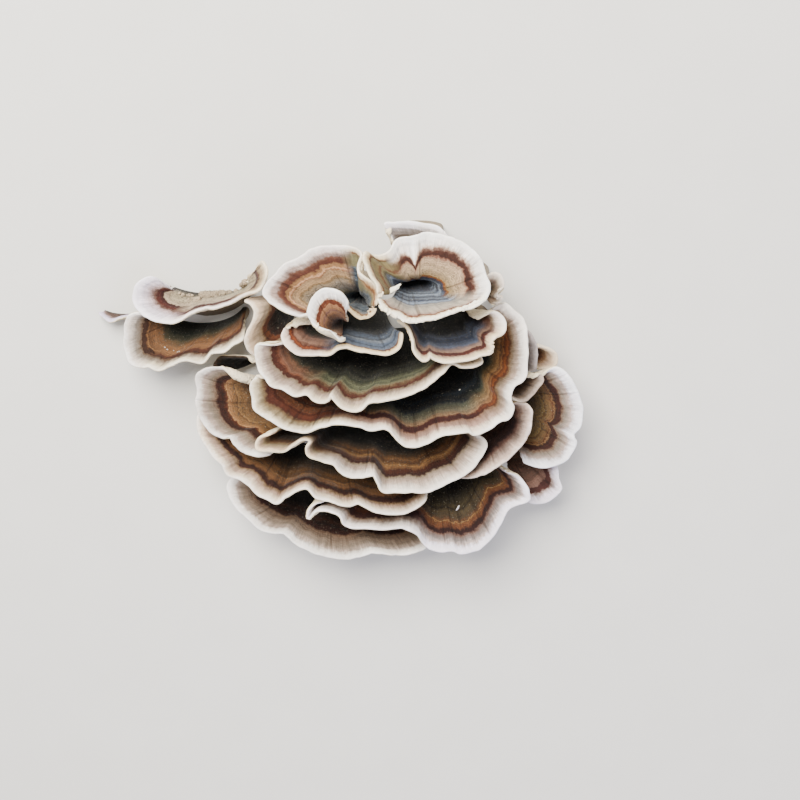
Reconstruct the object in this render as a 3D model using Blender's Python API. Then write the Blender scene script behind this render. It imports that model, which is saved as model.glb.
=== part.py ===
"""Turkey tail fungus: a cluster of thin banded caps, cut flat where it grew and resting on the cut.

X runs across the cluster, Y up it, and Z out of the surface that it grew on, so Z = 0 is the flat cut.
Each cap is one thin sheet that rises from a curved root line on the cut and spreads to a wavy margin.
Lengths below are millimetres and angles are degrees, until the meshes are made in metres.
"""

import math
from dataclasses import dataclass

import bmesh
import bpy
import numpy as np

MM = 0.001

# The margins are read in a front view that looks down onto the caps by this tilt, from this distance.
VIEW_TILT = math.radians(22)
VIEW_DISTANCE = 600
# The front view is at true size at this height above the cut.
VIEW_HEIGHT = 25

# A cap is thickest at its foot, and thins to its margin by this power of the way still to go.
RIM_THICKNESS = 1.5
THINNING = 3.2

# The sheet starts this far under the cut, and is then cut off flat.
ROOT_DEPTH = 1
# A sheet keeps the direction that it has at the margin over this share of its reach.
STRAIGHT_SHARE = 0.45
# The small waves of the margin are those shorter than this. They start at this share of the way out
# from the root, and grow by this power of the rest.
WAVE_LENGTH = 16
WAVES_START = 0.35
WAVES_GROWTH = 1.5
# Points of the smooth line between two points of an outline, before it is divided evenly.
LINE_STEPS = 12
# A facet of a margin is about this long.
FACET_LENGTH = 4.95


@dataclass
class Cap:
    """A cap: its margin, and the root line that its sheet rises from.

    margin    points (across, up, height) in the front view, anticlockwise; a point with no height takes
              it from its neighbours
    flare     steepness of the sheet at the margin, at even steps along it: 0 is flat, 90 stands on end
    root      centre, radii and angles of the root line: (x, y, radius_x, radius_y, start, end)
    lean      how far the sheet leans as it leaves the root: (x, y, height)
    foot      thickness of the root, at even steps along it: it spreads towards the next cap's root
    """

    name: str
    margin: list
    flare: tuple
    root: tuple
    lean: tuple
    foot: tuple
    colour: str
    rows: int = 5


TAN = "#B8966E"
CREAM = "#D9CBB4"
BROWN = "#8A5A38"
DARK = "#55544A"
WHITE = "#E9E3DA"

CAPS = [
    Cap(
        name="top_left_cap",
        margin=[
            (-9, 36, 45), (-8.2, 40, 44.5), (-9.6, 44), (-13.2, 46, 42.5), (-16.2, 48.5, 41.5),
            (-16.6, 52), (-15.4, 56.3, 39), (-19.6, 58.4), (-25.8, 59, 37),
            (-29.9, 58.8), (-33.6, 57.8), (-38.1, 54.9), (-43.1, 52.4), (-48, 48.3), (-50.9, 45.4),
            (-52.8, 41.3, 40), (-51.3, 39.2), (-48, 36.4, 44), (-43.1, 33.5, 47), (-38.1, 32),
            (-35.5, 32.8, 46), (-32, 35.5), (-28, 38.2, 42.5), (-23, 38, 41), (-19.6, 34.6, 39.5),
            (-17, 31.8, 40), (-13.2, 31, 42), (-10.4, 32.4, 43.5), (-9.4, 34.6, 44.5),
        ],
        flare=(70, 45, 18, 15, 15, 30, 65, 70, 70),
        root=(-14.5, 39.5, 0.8, 0.8, 10, 350),
        lean=(-0.5, 0, 45),
        foot=(3, 3.5, 3, 2, 2, 2.5),
        colour=CREAM,
    ),
    Cap(
        name="top_right_cap",
        margin=[
            (-8.6, 38.5, 49), (-6.6, 34.6), (-1.9, 31.8, 51), (3, 29.3, 51), (8.4, 30, 51), (15, 31.8),
            (21.6, 34.1, 50), (28.2, 35.7), (33.3, 39.2, 45), (34.3, 42.5), (33.1, 47.9, 41),
            (31.9, 52.8), (27.7, 57.4), (21.6, 61.3, 37), (16.6, 62.7), (10, 63.8, 36), (6.3, 62.9),
            (4.7, 61.9), (1.8, 61.9), (-1.1, 61.1, 36), (-4, 57), (-7.5, 55.3), (-10.4, 55.4, 40),
            (-13, 57, 42), (-14, 54.5, 44), (-12.6, 51), (-10.8, 47.4, 47), (-9, 44.5),
            (-8.4, 40.5, 48),
        ],
        flare=(60, 78, 76, 50, 15, 12, 12, 20, 35, 60),
        root=(5.5, 45.5, 4.5, 0.8, 192, 538),
        lean=(0, 0, 50),
        foot=(5, 7, 7, 5, 3.5, 4, 5),
        colour=CREAM,
    ),
    Cap(
        name="top_back_cap",
        margin=[
            (21, 58.5, 30), (19.5, 61.5), (17, 64.5, 32), (13.3, 66.4), (5.1, 67.7), (-1.1, 68.1, 32.5),
            (-6.5, 67.3, 32), (-4.8, 65.2), (-2.1, 60.9, 30),
        ],
        flare=(12, 10, 10, 12),
        root=(7, 59, 9, 1.5, 15, 165),
        lean=(0, 1, 22),
        foot=(2.5, 3, 3, 2.5),
        colour=WHITE,
        rows=4,
    ),
    Cap(
        name="curled_cap",
        margin=[
            (-19.9, 34.5, 50), (-20.1, 36.4, 51.5), (-21, 39.2), (-22.4, 41, 53.5), (-26.6, 42.3),
            (-30.3, 41.9), (-32.8, 40.1), (-34.9, 37, 53.5), (-35.7, 33), (-34.4, 30.6),
            (-29.5, 27.9, 53), (-26.6, 26.9), (-22.5, 23.8, 50), (-20.5, 24, 47),
        ],
        flare=(60, 25, 10, 10, 40, 70),
        root=(-21, 34.5, 0.5, 0.5, 25, 265),
        lean=(0, -2, 56),
        foot=(1.2, 1.2, 1.2, 1.2),
        colour=WHITE,
    ),
    Cap(
        name="right_upper_lobe",
        margin=[
            (37, 35.8, 31), (39.5, 37.6), (37.8, 40.3), (40.3, 44.2, 33), (38.5, 47.9), (36.4, 48.9),
            (34, 48.4, 32), (31.5, 46, 31),
        ],
        flare=(15, 12, 12, 15),
        root=(29.5, 42.5, 1.5, 2, -50, 120),
        lean=(2, 0, 18),
        foot=(2.5, 3.5, 2.5),
        colour=WHITE,
        rows=4,
    ),
    Cap(
        name="upper_left_cap",
        margin=[
            (-31, 30, 32), (-35.3, 28.4, 36), (-38.5, 28.6), (-41.4, 28), (-45.6, 24.5, 42),
            (-44.9, 22.4), (-41.8, 18.7, 46), (-37.7, 16.7), (-32, 17.1, 48), (-26.6, 17.1),
            (-23.7, 19.3), (-21.7, 19.8), (-15.1, 18.3), (-10.1, 17.5), (-4.3, 17.1), (-0.4, 19.3, 48),
            (0.8, 22.6), (0.6, 25.5, 46),
        ],
        flare=(20, 20, 50, 76, 78, 78, 70),
        root=(-11, 41, 21, 9.5, 175, 285),
        lean=(0, -2, 24),
        foot=(3, 8, 11, 11, 11, 10, 6),
        colour=TAN,
    ),
    Cap(
        name="upper_right_cap",
        margin=[
            (-1, 30.8, 40.5), (2.6, 28, 43), (4.6, 22.5, 47.5), (5.6, 17.5, 48), (9.3, 14.6),
            (10.5, 15.1), (11.3, 16.6),
            (13.1, 15.5), (20.9, 14.4, 48), (26.6, 15.5), (30.8, 17.1), (35.3, 18.1, 46), (34.5, 20.6),
            (36.1, 23.6, 43), (40.5, 25.6), (40.7, 29.8, 38), (37.2, 33.1), (33.9, 32.2),
            (30, 30.5, 35),
        ],
        flare=(70, 78, 78, 76, 60, 25, 20),
        root=(11, 41, 13, 9.5, 232, 340),
        lean=(0, -2, 24),
        foot=(7, 9, 7.5, 6, 5, 3),
        colour=TAN,
    ),
    Cap(
        name="left_shoulder_cap",
        margin=[
            (-50, 38, 20.5), (-57, 38.6, 21.5), (-59.4, 37.9), (-56.3, 34.4, 32), (-56.5, 30.7),
            (-58.9, 25.3), (-59.2, 22.8, 34), (-57.5, 17.5), (-55, 16, 33), (-48, 17, 31),
        ],
        flare=(15, 12, 12, 20),
        root=(-36, 37, 4, 6, 115, 245),
        lean=(-2, 0, 18),
        foot=(3, 6, 8, 7, 4),
        colour=BROWN,
        rows=4,
    ),
    Cap(
        name="second_cap",
        margin=[
            (-44, 22.5, 36), (-50.1, 21.2, 38), (-55, 20.8), (-54.8, 13.8, 39), (-52.1, 8.8),
            (-49.3, 5.1, 42), (-45.1, 4.1), (-40.6, 1.8, 44), (-35.7, 2), (-32.8, -0.2), (-30.3, -1),
            (-28.2, -0.2, 45), (-26.9, 1.6), (-23.7, -1.5), (-18.4, -4.1, 46), (-15.9, -4.1),
            (-11.8, -1), (-6, -0.4), (0.2, 0.8), (7.7, 3.9, 46), (12.2, 6.8), (16.8, 10.5),
            (20.1, 13.4, 44), (24, 12.6), (28.7, 13, 43), (31.6, 14.2), (30, 18, 38),
        ],
        flare=(12, 15, 40, 72, 76, 78, 76, 72, 60),
        root=(-8, 30, 30, 10, 198, 342),
        lean=(0, -2, 22),
        foot=(3, 9, 13, 15, 15.5, 15.5, 15, 12, 4),
        colour=DARK,
    ),
    Cap(
        name="third_cap",
        margin=[
            (-47, 9.5, 32), (-51.9, 8.1), (-55.2, 8.3, 34), (-57.2, 5.6), (-56.9, 0.2, 37),
            (-55.6, -3.9), (-50.6, -7.6, 41), (-45.3, -10.7), (-37, -12.1, 43), (-30, -10.3),
            (-24.3, -8.8), (-15.8, -10.5, 44), (-10.4, -11.7), (-5.9, -10.9), (-1.6, -13), (0.3, -15.8),
            (5.2, -17.9, 44), (10.2, -16.5), (14.3, -13.8), (21.7, -13.2, 44), (26.2, -12.3),
            (28.7, -13.4), (34.9, -11.7, 42), (38.9, -8.8), (41.7, -8.2), (43.9, -4.6, 40), (42.9, 1.1),
            (44.1, 4.8), (47.8, 7.4, 37), (48.7, 13), (49.1, 19.2, 33), (48.6, 26.3), (47.1, 31, 30),
            (43, 35.1), (40.9, 37.2), (36, 36, 27),
        ],
        flare=(12, 15, 50, 74, 76, 76, 70, 55, 28, 15, 12, 12),
        root=(-4, 22, 34, 18, 190, 380),
        lean=(0, -2, 20),
        foot=(4, 14, 20, 20.5, 19, 14, 11, 8, 4),
        colour=BROWN,
        rows=6,
    ),
    Cap(
        name="right_crescent",
        margin=[
            (48, 10.5, 22), (51.4, 10.8), (52.3, 15.3, 24), (52.2, 21.9), (49.1, 26.6), (45, 28.5, 23),
        ],
        flare=(15, 12, 12),
        root=(36, 19, 3, 6, -55, 80),
        lean=(2, 0, 12),
        foot=(2, 3.5, 2),
        colour=TAN,
        rows=4,
    ),
    Cap(
        name="small_right_lobe",
        margin=[
            (42.5, 1.8, 30), (45.4, 0.2), (47.8, -0.2, 30), (50.3, 1.1), (54, 5.6), (55.3, 7.6, 27),
            (54.5, 9.3), (51, 8.2, 26.5),
        ],
        flare=(30, 15, 12, 12),
        root=(37, 6, 2, 2.5, -65, 70),
        lean=(2, 0, 16),
        foot=(2, 3.5, 2),
        colour=TAN,
        rows=4,
    ),
    Cap(
        name="far_right_knob",
        margin=[
            (52.5, 12, 16), (56.1, 11), (59, 11.6), (61, 15.7, 17), (58.1, 19.2), (55.3, 19.8),
            (50, 18.6, 17),
        ],
        flare=(12, 12, 12),
        root=(47, 14.5, 1.5, 2, -80, 90),
        lean=(2, 0, 7),
        foot=(2, 3, 2),
        colour=TAN,
        rows=4,
    ),
    Cap(
        name="far_right_cap",
        margin=[
            (47, -24.5, 23), (52.8, -26.3, 24), (57.3, -25.7), (62.7, -24.1), (65.6, -20.8),
            (67.5, -16.7), (66.4, -13.8, 23), (68.9, -10.5), (70, -4.7), (69.5, -0.6), (66.4, 6.8, 22),
            (62.7, 11.8), (60.6, 12.4), (56.5, 10.8), (52.5, 7.5, 21),
        ],
        flare=(20, 15, 12, 10, 10, 12),
        root=(42, -6, 4, 12, -75, 60),
        lean=(2, 0, 13),
        foot=(3, 6, 7, 6, 3),
        colour=TAN,
    ),
    Cap(
        name="right_middle_cap",
        margin=[
            (20, -28, 28), (25.2, -30, 33), (31.4, -29, 35), (39.6, -24.5), (45, -20, 34),
            (48.7, -15.3), (50.7, -7.6, 32), (50.9, -4.7), (49.9, -2.4), (45, -0.8, 28), (39, -0.5, 25),
        ],
        flare=(65, 50, 30, 20, 15),
        root=(24, -4, 8, 10, -75, 15),
        lean=(2, -1, 18),
        foot=(5, 10, 12, 12, 10, 5),
        colour=BROWN,
    ),
    Cap(
        name="left_cap",
        margin=[
            (-57, 6, 17), (-61, 7.8, 20), (-65.3, 9.5, 22), (-69.2, 12.6), (-74.1, 12.2), (-78.2, 8.9),
            (-77.6, 4.4, 23), (-78.2, -1.4), (-76.2, -7.2), (-72.5, -12.5, 25), (-70, -14),
            (-65.9, -14), (-63, -17.5), (-58.9, -20.6, 28), (-54.8, -21.6, 30), (-50, -20.5, 31),
        ],
        flare=(12, 12, 12, 14, 20, 45),
        root=(-36, -2, 8, 14, 155, 248),
        lean=(-3, 0, 13),
        foot=(3, 7, 9, 12, 12, 6),
        colour=TAN,
    ),
    Cap(
        name="shaded_cap",
        margin=[
            (-53, 12, 14), (-56, 14.8), (-58.7, 16.4), (-65, 16.9, 15), (-69, 16.3), (-71.5, 13.5),
            (-70, 9, 12),
        ],
        flare=(15, 15, 12),
        root=(-51, 8, 4, 2, 80, 200),
        lean=(-1, 0, 7),
        foot=(2, 3, 2),
        colour=DARK,
        rows=3,
    ),
    Cap(
        name="fourth_cap",
        margin=[
            (-49, -13.5, 36), (-54.6, -16.6, 37), (-54.8, -18.3), (-50.6, -19.1), (-44, -19.3, 39),
            (-40.7, -16.7), (-38.3, -15), (-35.8, -14.6, 41), (-34, -16.2), (-35.4, -18.3),
            (-35.4, -20.4), (-30, -23.2, 41), (-24.3, -25.1), (-23.5, -26.5), (-21.5, -28.5),
            (-15.1, -29.4), (-9.3, -28.8, 41), (-7.6, -32.1), (-6.8, -34.4), (-1.9, -35.4),
            (6.4, -35.5), (9.7, -35.4, 40), (17.1, -32.5), (24.1, -29.4, 38), (29.4, -24.7),
            (33.3, -18.9, 35), (33.6, -16.8), (30.1, -13.4), (26, -12, 31),
        ],
        flare=(40, 70, 75, 76, 76, 72, 60, 30, 20),
        root=(-9, -2, 28, 15, 200, 335),
        lean=(0, -2, 20),
        foot=(4, 12, 16, 12, 9, 7.5, 9, 8, 4),
        colour=TAN,
    ),
    Cap(
        name="fifth_cap",
        margin=[
            (-71, -3, 18), (-76.5, -5), (-77.6, -9.2, 20), (-75.8, -15), (-72.1, -21, 24),
            (-67.9, -25.5), (-66.3, -28.8, 27), (-61.8, -30.4), (-58.1, -32.9, 31), (-55.2, -36.2),
            (-50.6, -37.9, 34), (-47.1, -39.8), (-44.5, -37.5), (-39.9, -35, 35), (-35.6, -34.2),
            (-32.1, -37.7), (-25.9, -38.7, 36), (-19.2, -40.7), (-16.3, -39.5), (-9.3, -42.2),
            (-1.9, -43.4, 36), (4.7, -42.2), (9.7, -38.3, 34), (10.3, -36.6), (8.5, -32, 28),
        ],
        flare=(10, 12, 20, 40, 65, 74, 76, 76, 76, 70),
        root=(-26, -10, 34, 20, 185, 315),
        lean=(0, -2, 16),
        foot=(4, 8, 12, 13, 13, 9.5, 6, 6, 4),
        colour=TAN,
    ),
    Cap(
        name="sixth_cap",
        margin=[
            (-28, -38.5, 30), (-32.5, -40.3), (-34.6, -42.4), (-35.2, -45.5, 32), (-32.1, -42.4),
            (-28, -42.2), (-22.5, -44.6, 33), (-21.1, -47.3), (-14.2, -48.4), (-7.6, -49.5),
            (2.2, -49.4, 32), (7.2, -52.3), (10.1, -56.2, 29), (14.6, -58.3), (21.2, -58.3, 27),
            (22.6, -59.1), (29.5, -57.6), (35.3, -53.1, 27), (38.4, -48.2), (40.8, -43.6),
            (44.5, -40.3, 27), (49.9, -38.3), (49.5, -34.6, 26), (47, -30.6), (42, -28, 23),
        ],
        flare=(70, 76, 76, 70, 50, 28, 25, 25, 20, 20),
        root=(2, -24, 30, 16, 228, 350),
        lean=(0, -2, 15),
        foot=(3.5, 8, 9.5, 10, 9, 8, 7, 5, 3),
        colour=BROWN,
    ),
    Cap(
        name="lower_right_lobe",
        margin=[
            (45, -36.5, 16), (49.9, -40.1, 18), (54.8, -39.7), (59.8, -36.6), (62.1, -34.2, 18),
            (61, -30), (60.2, -25.3, 17), (56, -22.5, 15),
        ],
        flare=(12, 12, 12),
        root=(39, -25, 4, 5, -75, 20),
        lean=(2, -1, 9),
        foot=(2, 4, 4, 2),
        colour=TAN,
        rows=4,
    ),
    Cap(
        name="bottom_cap",
        margin=[
            (-59, -28.5, 15), (-65.1, -30, 17), (-66.4, -33.3), (-65.1, -37.9, 21), (-61.8, -42),
            (-58.1, -45.7, 24), (-53.9, -49.4), (-48.6, -50.6, 26), (-44.9, -51), (-39.9, -55.2),
            (-34.2, -58, 28), (-25.9, -60.1), (-18.4, -60.4, 28), (-10.1, -58.5), (-3.5, -58.9, 27),
            (6.4, -58.1, 25), (9.9, -56.4), (9, -52, 20),
        ],
        flare=(12, 15, 35, 55, 62, 65, 68, 68),
        root=(-24, -35, 28, 16, 195, 308),
        lean=(0, -2, 13),
        foot=(3, 6, 8, 9, 7.5, 4, 1.5),
        colour=BROWN,
    ),
    Cap(
        name="outer_left_upper_cap",
        margin=[
            (-88, 43.8, 3), (-90.5, 45.8, 7), (-94.7, 47.4, 10), (-99.9, 45.1), (-101.8, 38.1, 13),
            (-99.3, 33.1, 15), (-93.1, 29.8, 18), (-87.3, 29, 20), (-79.9, 33.1), (-74.1, 35.6, 21),
            (-70, 35.5), (-65, 37, 23), (-56.7, 40.9, 28), (-53, 42.5), (-50.5, 47.9, 31),
            (-51.7, 51.8, 28), (-55.5, 49.5, 18), (-58, 47.5, 6),
        ],
        flare=(12, 12, 25, 66, 74, 70, 60, 45, 30),
        root=(-73, 46, 22, 11.5, 228, 314),
        lean=(0, -1, 8),
        foot=(5, 11, 12.5, 11, 9, 6.5, 3),
        colour=CREAM,
    ),
    Cap(
        name="outer_left_lower_cap",
        margin=[
            (-94, 33, 12), (-100.1, 33.3, 13), (-104.2, 31.8), (-105.2, 26, 14), (-104.8, 17.8, 15),
            (-102.6, 13.2), (-98.4, 12.2, 18), (-96.4, 12.4), (-92.2, 11.1, 20), (-87.3, 13),
            (-82.4, 14.7), (-75.4, 14, 21), (-72.1, 18), (-67.5, 18.4, 21), (-64.2, 20.6),
            (-60.1, 22.5, 20), (-59, 26, 14),
        ],
        flare=(12, 12, 35, 72, 76, 74, 60),
        root=(-77, 32, 17, 9.5, 190, 345),
        lean=(0, -1, 9),
        foot=(3, 6, 8, 8, 6, 3),
        colour=DARK,
    ),
    Cap(
        name="outer_left_tip",
        margin=[
            (-115, 34, 2.5), (-114.3, 32.8, 5), (-112.4, 31.4), (-110.4, 30.2, 8), (-107, 31.4, 8),
            (-103.5, 32.2, 7), (-99.5, 32.4, 6),
        ],
        flare=(30, 60, 70, 70),
        root=(-106, 28, 8, 2, 185, 335),
        lean=(0, 0, 3),
        foot=(1.5, 2, 1.5),
        colour=WHITE,
        rows=3,
    ),
]


def seen(line):
    """Places of points given as (across, up, height): where their sight lines reach that height."""
    across, up, height = line.T
    sine = math.sin(VIEW_TILT)
    cosine = math.cos(VIEW_TILT)
    eye = np.array([0, VIEW_DISTANCE * sine, VIEW_HEIGHT + VIEW_DISTANCE * cosine])
    picture = np.column_stack((across, up * cosine, VIEW_HEIGHT - up * sine))
    share = (eye[2] - height) / (eye[2] - picture[:, 2])
    return eye + (picture - eye) * share[:, None]


def run_along(line):
    """Distance along a line from its first point to each of its points."""
    return np.concatenate(([0], np.cumsum(np.linalg.norm(np.diff(line, axis=0), axis=1))))


def smooth_line(points):
    """A smooth line through the points, closely divided."""
    at = run_along(points)
    spans = np.diff(at)[:, None]
    slopes = np.diff(points, axis=0) / spans
    inner = (slopes[1:] * spans[:-1] + slopes[:-1] * spans[1:]) / (spans[1:] + spans[:-1])
    tangents = np.vstack((slopes[:1], inner, slopes[-1:]))
    pieces = []
    for start in range(len(points) - 1):
        t = np.linspace(0, 1, LINE_STEPS, endpoint=False)[:, None]
        span = spans[start]
        pieces.append(
            (2 * t**3 - 3 * t**2 + 1) * points[start]
            + (t**3 - 2 * t**2 + t) * span * tangents[start]
            + (3 * t**2 - 2 * t**3) * points[start + 1]
            + (t**3 - t**2) * span * tangents[start + 1]
        )
    pieces.append(points[-1:])
    return np.vstack(pieces)


def divide(line, count):
    """The line divided into that many even steps."""
    at = run_along(line)
    even = np.linspace(0, at[-1], count + 1)
    return np.column_stack([np.interp(even, at, line[:, axis]) for axis in range(line.shape[1])])


def spread(values, count):
    """A short list of values, spread evenly over that many steps."""
    return np.interp(np.linspace(0, 1, count + 1), np.linspace(0, 1, len(values)), values)


def without_waves(line, step):
    """The line, divided evenly by the step, with waves shorter than WAVE_LENGTH smoothed out."""
    reach = max(1, round(WAVE_LENGTH / 2 / step))
    padded = np.vstack((2 * line[0] - line[reach:0:-1], line, 2 * line[-1] - line[-2 : -reach - 2 : -1]))
    weights = np.hanning(2 * reach + 3)[1:-1]
    weights /= weights.sum()
    return np.column_stack([np.convolve(padded[:, axis], weights, "valid") for axis in range(3)])


def margin_line(cap):
    """The cap's margin in space, closely divided."""
    flat = np.array([point[:2] for point in cap.margin], float)
    at = run_along(flat)
    known = [index for index, point in enumerate(cap.margin) if len(point) == 3]
    heights = np.interp(at, at[known], [cap.margin[index][2] for index in known])
    return seen(smooth_line(np.column_stack((flat, heights))))


def upper_surface(cap, columns, rows):
    """Points of the cap's upper surface, from the root line (row 0) to the margin."""
    line = margin_line(cap)
    step = run_along(line)[-1] / columns
    margin = divide(line, columns)
    calm = without_waves(margin, step)
    x, y, radius_x, radius_y, start, end = cap.root
    turn = np.radians(np.linspace(start, end, columns + 1))
    root = np.column_stack(
        (x + radius_x * np.cos(turn), y + radius_y * np.sin(turn), np.full(columns + 1, -ROOT_DEPTH))
    )
    rise = root + np.array(cap.lean)
    reach = np.linalg.norm(calm - rise, axis=1)[:, None]
    outward = without_waves((calm - rise) * (1, 1, 0), step)
    outward /= np.linalg.norm(outward, axis=1)[:, None]
    flare = np.radians(spread(cap.flare, columns))[:, None]
    slope = outward * np.cos(flare) + np.array([0, 0, 1]) * np.sin(flare)
    shoulder = calm - slope * reach * STRAIGHT_SHARE
    surface = np.zeros((columns + 1, rows + 1, 3))
    for row in range(rows + 1):
        out = row / rows
        back = 1 - out
        wave = max(0, (out - WAVES_START) / (1 - WAVES_START)) ** WAVES_GROWTH
        surface[:, row] = (
            back**3 * root
            + 3 * out * back**2 * rise
            + 3 * out**2 * back * shoulder
            + out**3 * calm
            + (margin - calm) * wave
        )
    return surface


def upward(surface):
    """Unit normals on the upper side of a sheet of points."""
    along = np.gradient(surface, axis=0)
    out = np.gradient(surface, axis=1)
    normals = np.cross(out, along)
    return normals / np.linalg.norm(normals, axis=2)[:, :, None]


def make_cap(cap):
    """The cap's closed solid, cut off flat at Z = 0."""
    columns = max(6, round(run_along(margin_line(cap))[-1] / FACET_LENGTH))
    rows = cap.rows
    surface = upper_surface(cap, columns, rows)
    normals = upward(surface)
    out = np.linspace(0, 1, rows + 1)
    extra = (spread(cap.foot, columns) - RIM_THICKNESS)[:, None] * (1 - out)[None, :] ** THINNING
    under = surface - normals * (RIM_THICKNESS + extra)[:, :, None]

    bm = bmesh.new()
    place = bm.verts.layers.int.new("place")
    bmesh.ops.create_grid(bm, x_segments=columns, y_segments=rows, size=0.5)
    for vert in bm.verts:
        column = round((vert.co.x + 0.5) * columns)
        row = round((vert.co.y + 0.5) * rows)
        vert[place] = column * (rows + 1) + row
        vert.co = surface[column, row] * MM
    lower = bmesh.ops.extrude_face_region(bm, geom=bm.faces[:])["geom"]
    for vert in lower:
        if isinstance(vert, bmesh.types.BMVert):
            column, row = divmod(vert[place], rows + 1)
            vert.co = under[column, row] * MM
    bmesh.ops.recalc_face_normals(bm, faces=bm.faces[:])
    bmesh.ops.bisect_plane(
        bm,
        geom=bm.verts[:] + bm.edges[:] + bm.faces[:],
        dist=1e-6,
        plane_co=(0, 0, 0),
        plane_no=(0, 0, 1),
        clear_inner=True,
    )
    bmesh.ops.holes_fill(bm, edges=[edge for edge in bm.edges if edge.is_boundary], sides=0)
    bmesh.ops.triangulate(bm, faces=bm.faces[:])
    bmesh.ops.recalc_face_normals(bm, faces=bm.faces[:])

    mesh = bpy.data.meshes.new(cap.name)
    bm.to_mesh(mesh)
    bm.free()
    mesh.shade_smooth()
    mesh.set_sharp_from_angle(angle=math.radians(50))
    item = bpy.data.objects.new(cap.name, mesh)
    bpy.context.collection.objects.link(item)
    item.data.materials.append(cap_material(cap))
    return item


def linear(hex_colour):
    """A linear colour with alpha from an sRGB hex value."""
    channels = [int(hex_colour[start : start + 2], 16) / 255 for start in (1, 3, 5)]
    return [c / 12.92 if c <= 0.04045 else ((c + 0.055) / 1.055) ** 2.4 for c in channels] + [1]


def cap_material(cap):
    """The dull, velvety flesh of one cap."""
    material = bpy.data.materials.new(cap.name)
    material.use_nodes = True
    shader = material.node_tree.nodes["Principled BSDF"]
    shader.inputs["Base Color"].default_value = linear(cap.colour)
    shader.inputs["Roughness"].default_value = 0.85
    shader.inputs["Metallic"].default_value = 0
    return material


for old in list(bpy.data.objects):
    bpy.data.objects.remove(old)
for each in CAPS:
    make_cap(each)
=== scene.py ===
"""Looks of the turkey tail fungus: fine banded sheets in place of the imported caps, and the photo's view.

Lengths are millimetres and angles are degrees, until the meshes are made in metres.
"""

import math
from dataclasses import dataclass

import bmesh
import bpy
import numpy as np
from mathutils import Matrix, Vector, bvhtree, noise


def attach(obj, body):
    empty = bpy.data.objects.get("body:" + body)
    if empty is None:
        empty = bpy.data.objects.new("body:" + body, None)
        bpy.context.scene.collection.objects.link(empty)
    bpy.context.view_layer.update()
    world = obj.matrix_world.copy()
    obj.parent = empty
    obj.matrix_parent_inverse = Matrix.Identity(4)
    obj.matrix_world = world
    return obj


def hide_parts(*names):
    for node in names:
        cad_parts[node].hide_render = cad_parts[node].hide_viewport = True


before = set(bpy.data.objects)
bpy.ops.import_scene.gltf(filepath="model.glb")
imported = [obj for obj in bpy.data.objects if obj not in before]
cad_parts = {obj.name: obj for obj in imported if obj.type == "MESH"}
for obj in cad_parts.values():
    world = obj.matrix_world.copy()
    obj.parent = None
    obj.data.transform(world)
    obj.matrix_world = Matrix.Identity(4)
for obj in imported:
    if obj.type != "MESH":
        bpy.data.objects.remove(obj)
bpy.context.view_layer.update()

MM = 0.001

# The margins are read in a front view that looks down onto the caps by this tilt, from this distance.
VIEW_TILT = math.radians(22)
VIEW_DISTANCE = 600
# The front view is at true size at this height above the cut, and is this wide.
VIEW_HEIGHT = 25
VIEW_WIDTH = 304

# A cap is thickest at its foot, and thins to its margin by this power of the way still to go.
RIM_THICKNESS = 1.5
THINNING = 3.2
# The sheet starts this far under the cut, and is then cut off flat.
ROOT_DEPTH = 1
# A sheet keeps the direction that it has at the margin over this share of its reach.
STRAIGHT_SHARE = 0.45
# The small waves of the margin are those shorter than this. They start at this share of the way out
# from the root, and grow by this power of the rest.
WAVE_LENGTH = 16
WAVES_START = 0.35
WAVES_GROWTH = 1.5
# Points of the smooth line between two points of an outline, before it is divided evenly.
LINE_STEPS = 12

# The columns of a sheet stand this far apart at its margin, and closer at its two ends.
COLUMN_STEP = 0.7
END_COLUMNS = (0, 0.06, 0.18, 0.36, 0.6, 0.9, 1.3)
# Between the two ends the columns are even, from this far in.
END_REACH = 2
# Rows from the root to the margin, drawn towards both by this power.
ROWS = 46
ROW_POWER = 1.6
# The margin and the two ends of a sheet are rounded over these distances.
MARGIN_ROUND = 0.5
END_ROUND = 1.2
# On a tight ring the rounding of an end takes at most this part of the way round it.
END_ROUND_PART = 1 / 12
# The sheet draws down to this share of its thickness at the very margin, over about this distance.
EDGE_SHARE = 0.66
EDGE_REACH = 2.5

# Irregular frets of the margin: (length along it, size). The whole margin is drawn in by the inset, and the
# frets fade out over this distance at both ends.
FRETS = ((0.9, 0.07), (2.1, 0.2), (5.3, 0.3))
FRET_INSET = 0.45
FRET_FADE = 4
# Ridges that follow the margin, fine and broad, and how they swing: (length along it, share).
RING_STEP = 2.6
RING_HEIGHT = 0.07
SWELL_STEP = 7.5
SWELL_HEIGHT = 0.16
SWINGS = ((11, 1), (3, 0.4))
# Pleats and folds that run down to the margin: (length along it, how far in they reach, height).
PLEATS = (2.3, 7, 0.16)
FOLDS = (7, 16, 0.45)
# The relief fades in over this stretch of the way out, and the ridges fade out this near to the margin.
RELIEF_START = 0.3
RELIEF_FULL = 0.6
RIDGE_FADE = 1.5
# The creases fade in over this stretch of the way out, and hold the bands back from this far in.
CREASE_START = 0.25
CREASE_FULL = 0.55
CREASE_HOLD = 6
# What each point of a sheet knows: its distance from the margin, its place along it in millimetres and
# as a share, whether it is on the underside, and how far out it is from the root.
ATTRIBUTES = ("from_margin", "along", "share", "under", "out")
# Bands are given up to this far from the margin.
BAND_REACH = 32
# Distance between the finest bands, and between the broader ones that they lie in.
FINE_RING_STEP = 0.95
WIDE_RING_STEP = 3.1
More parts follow.
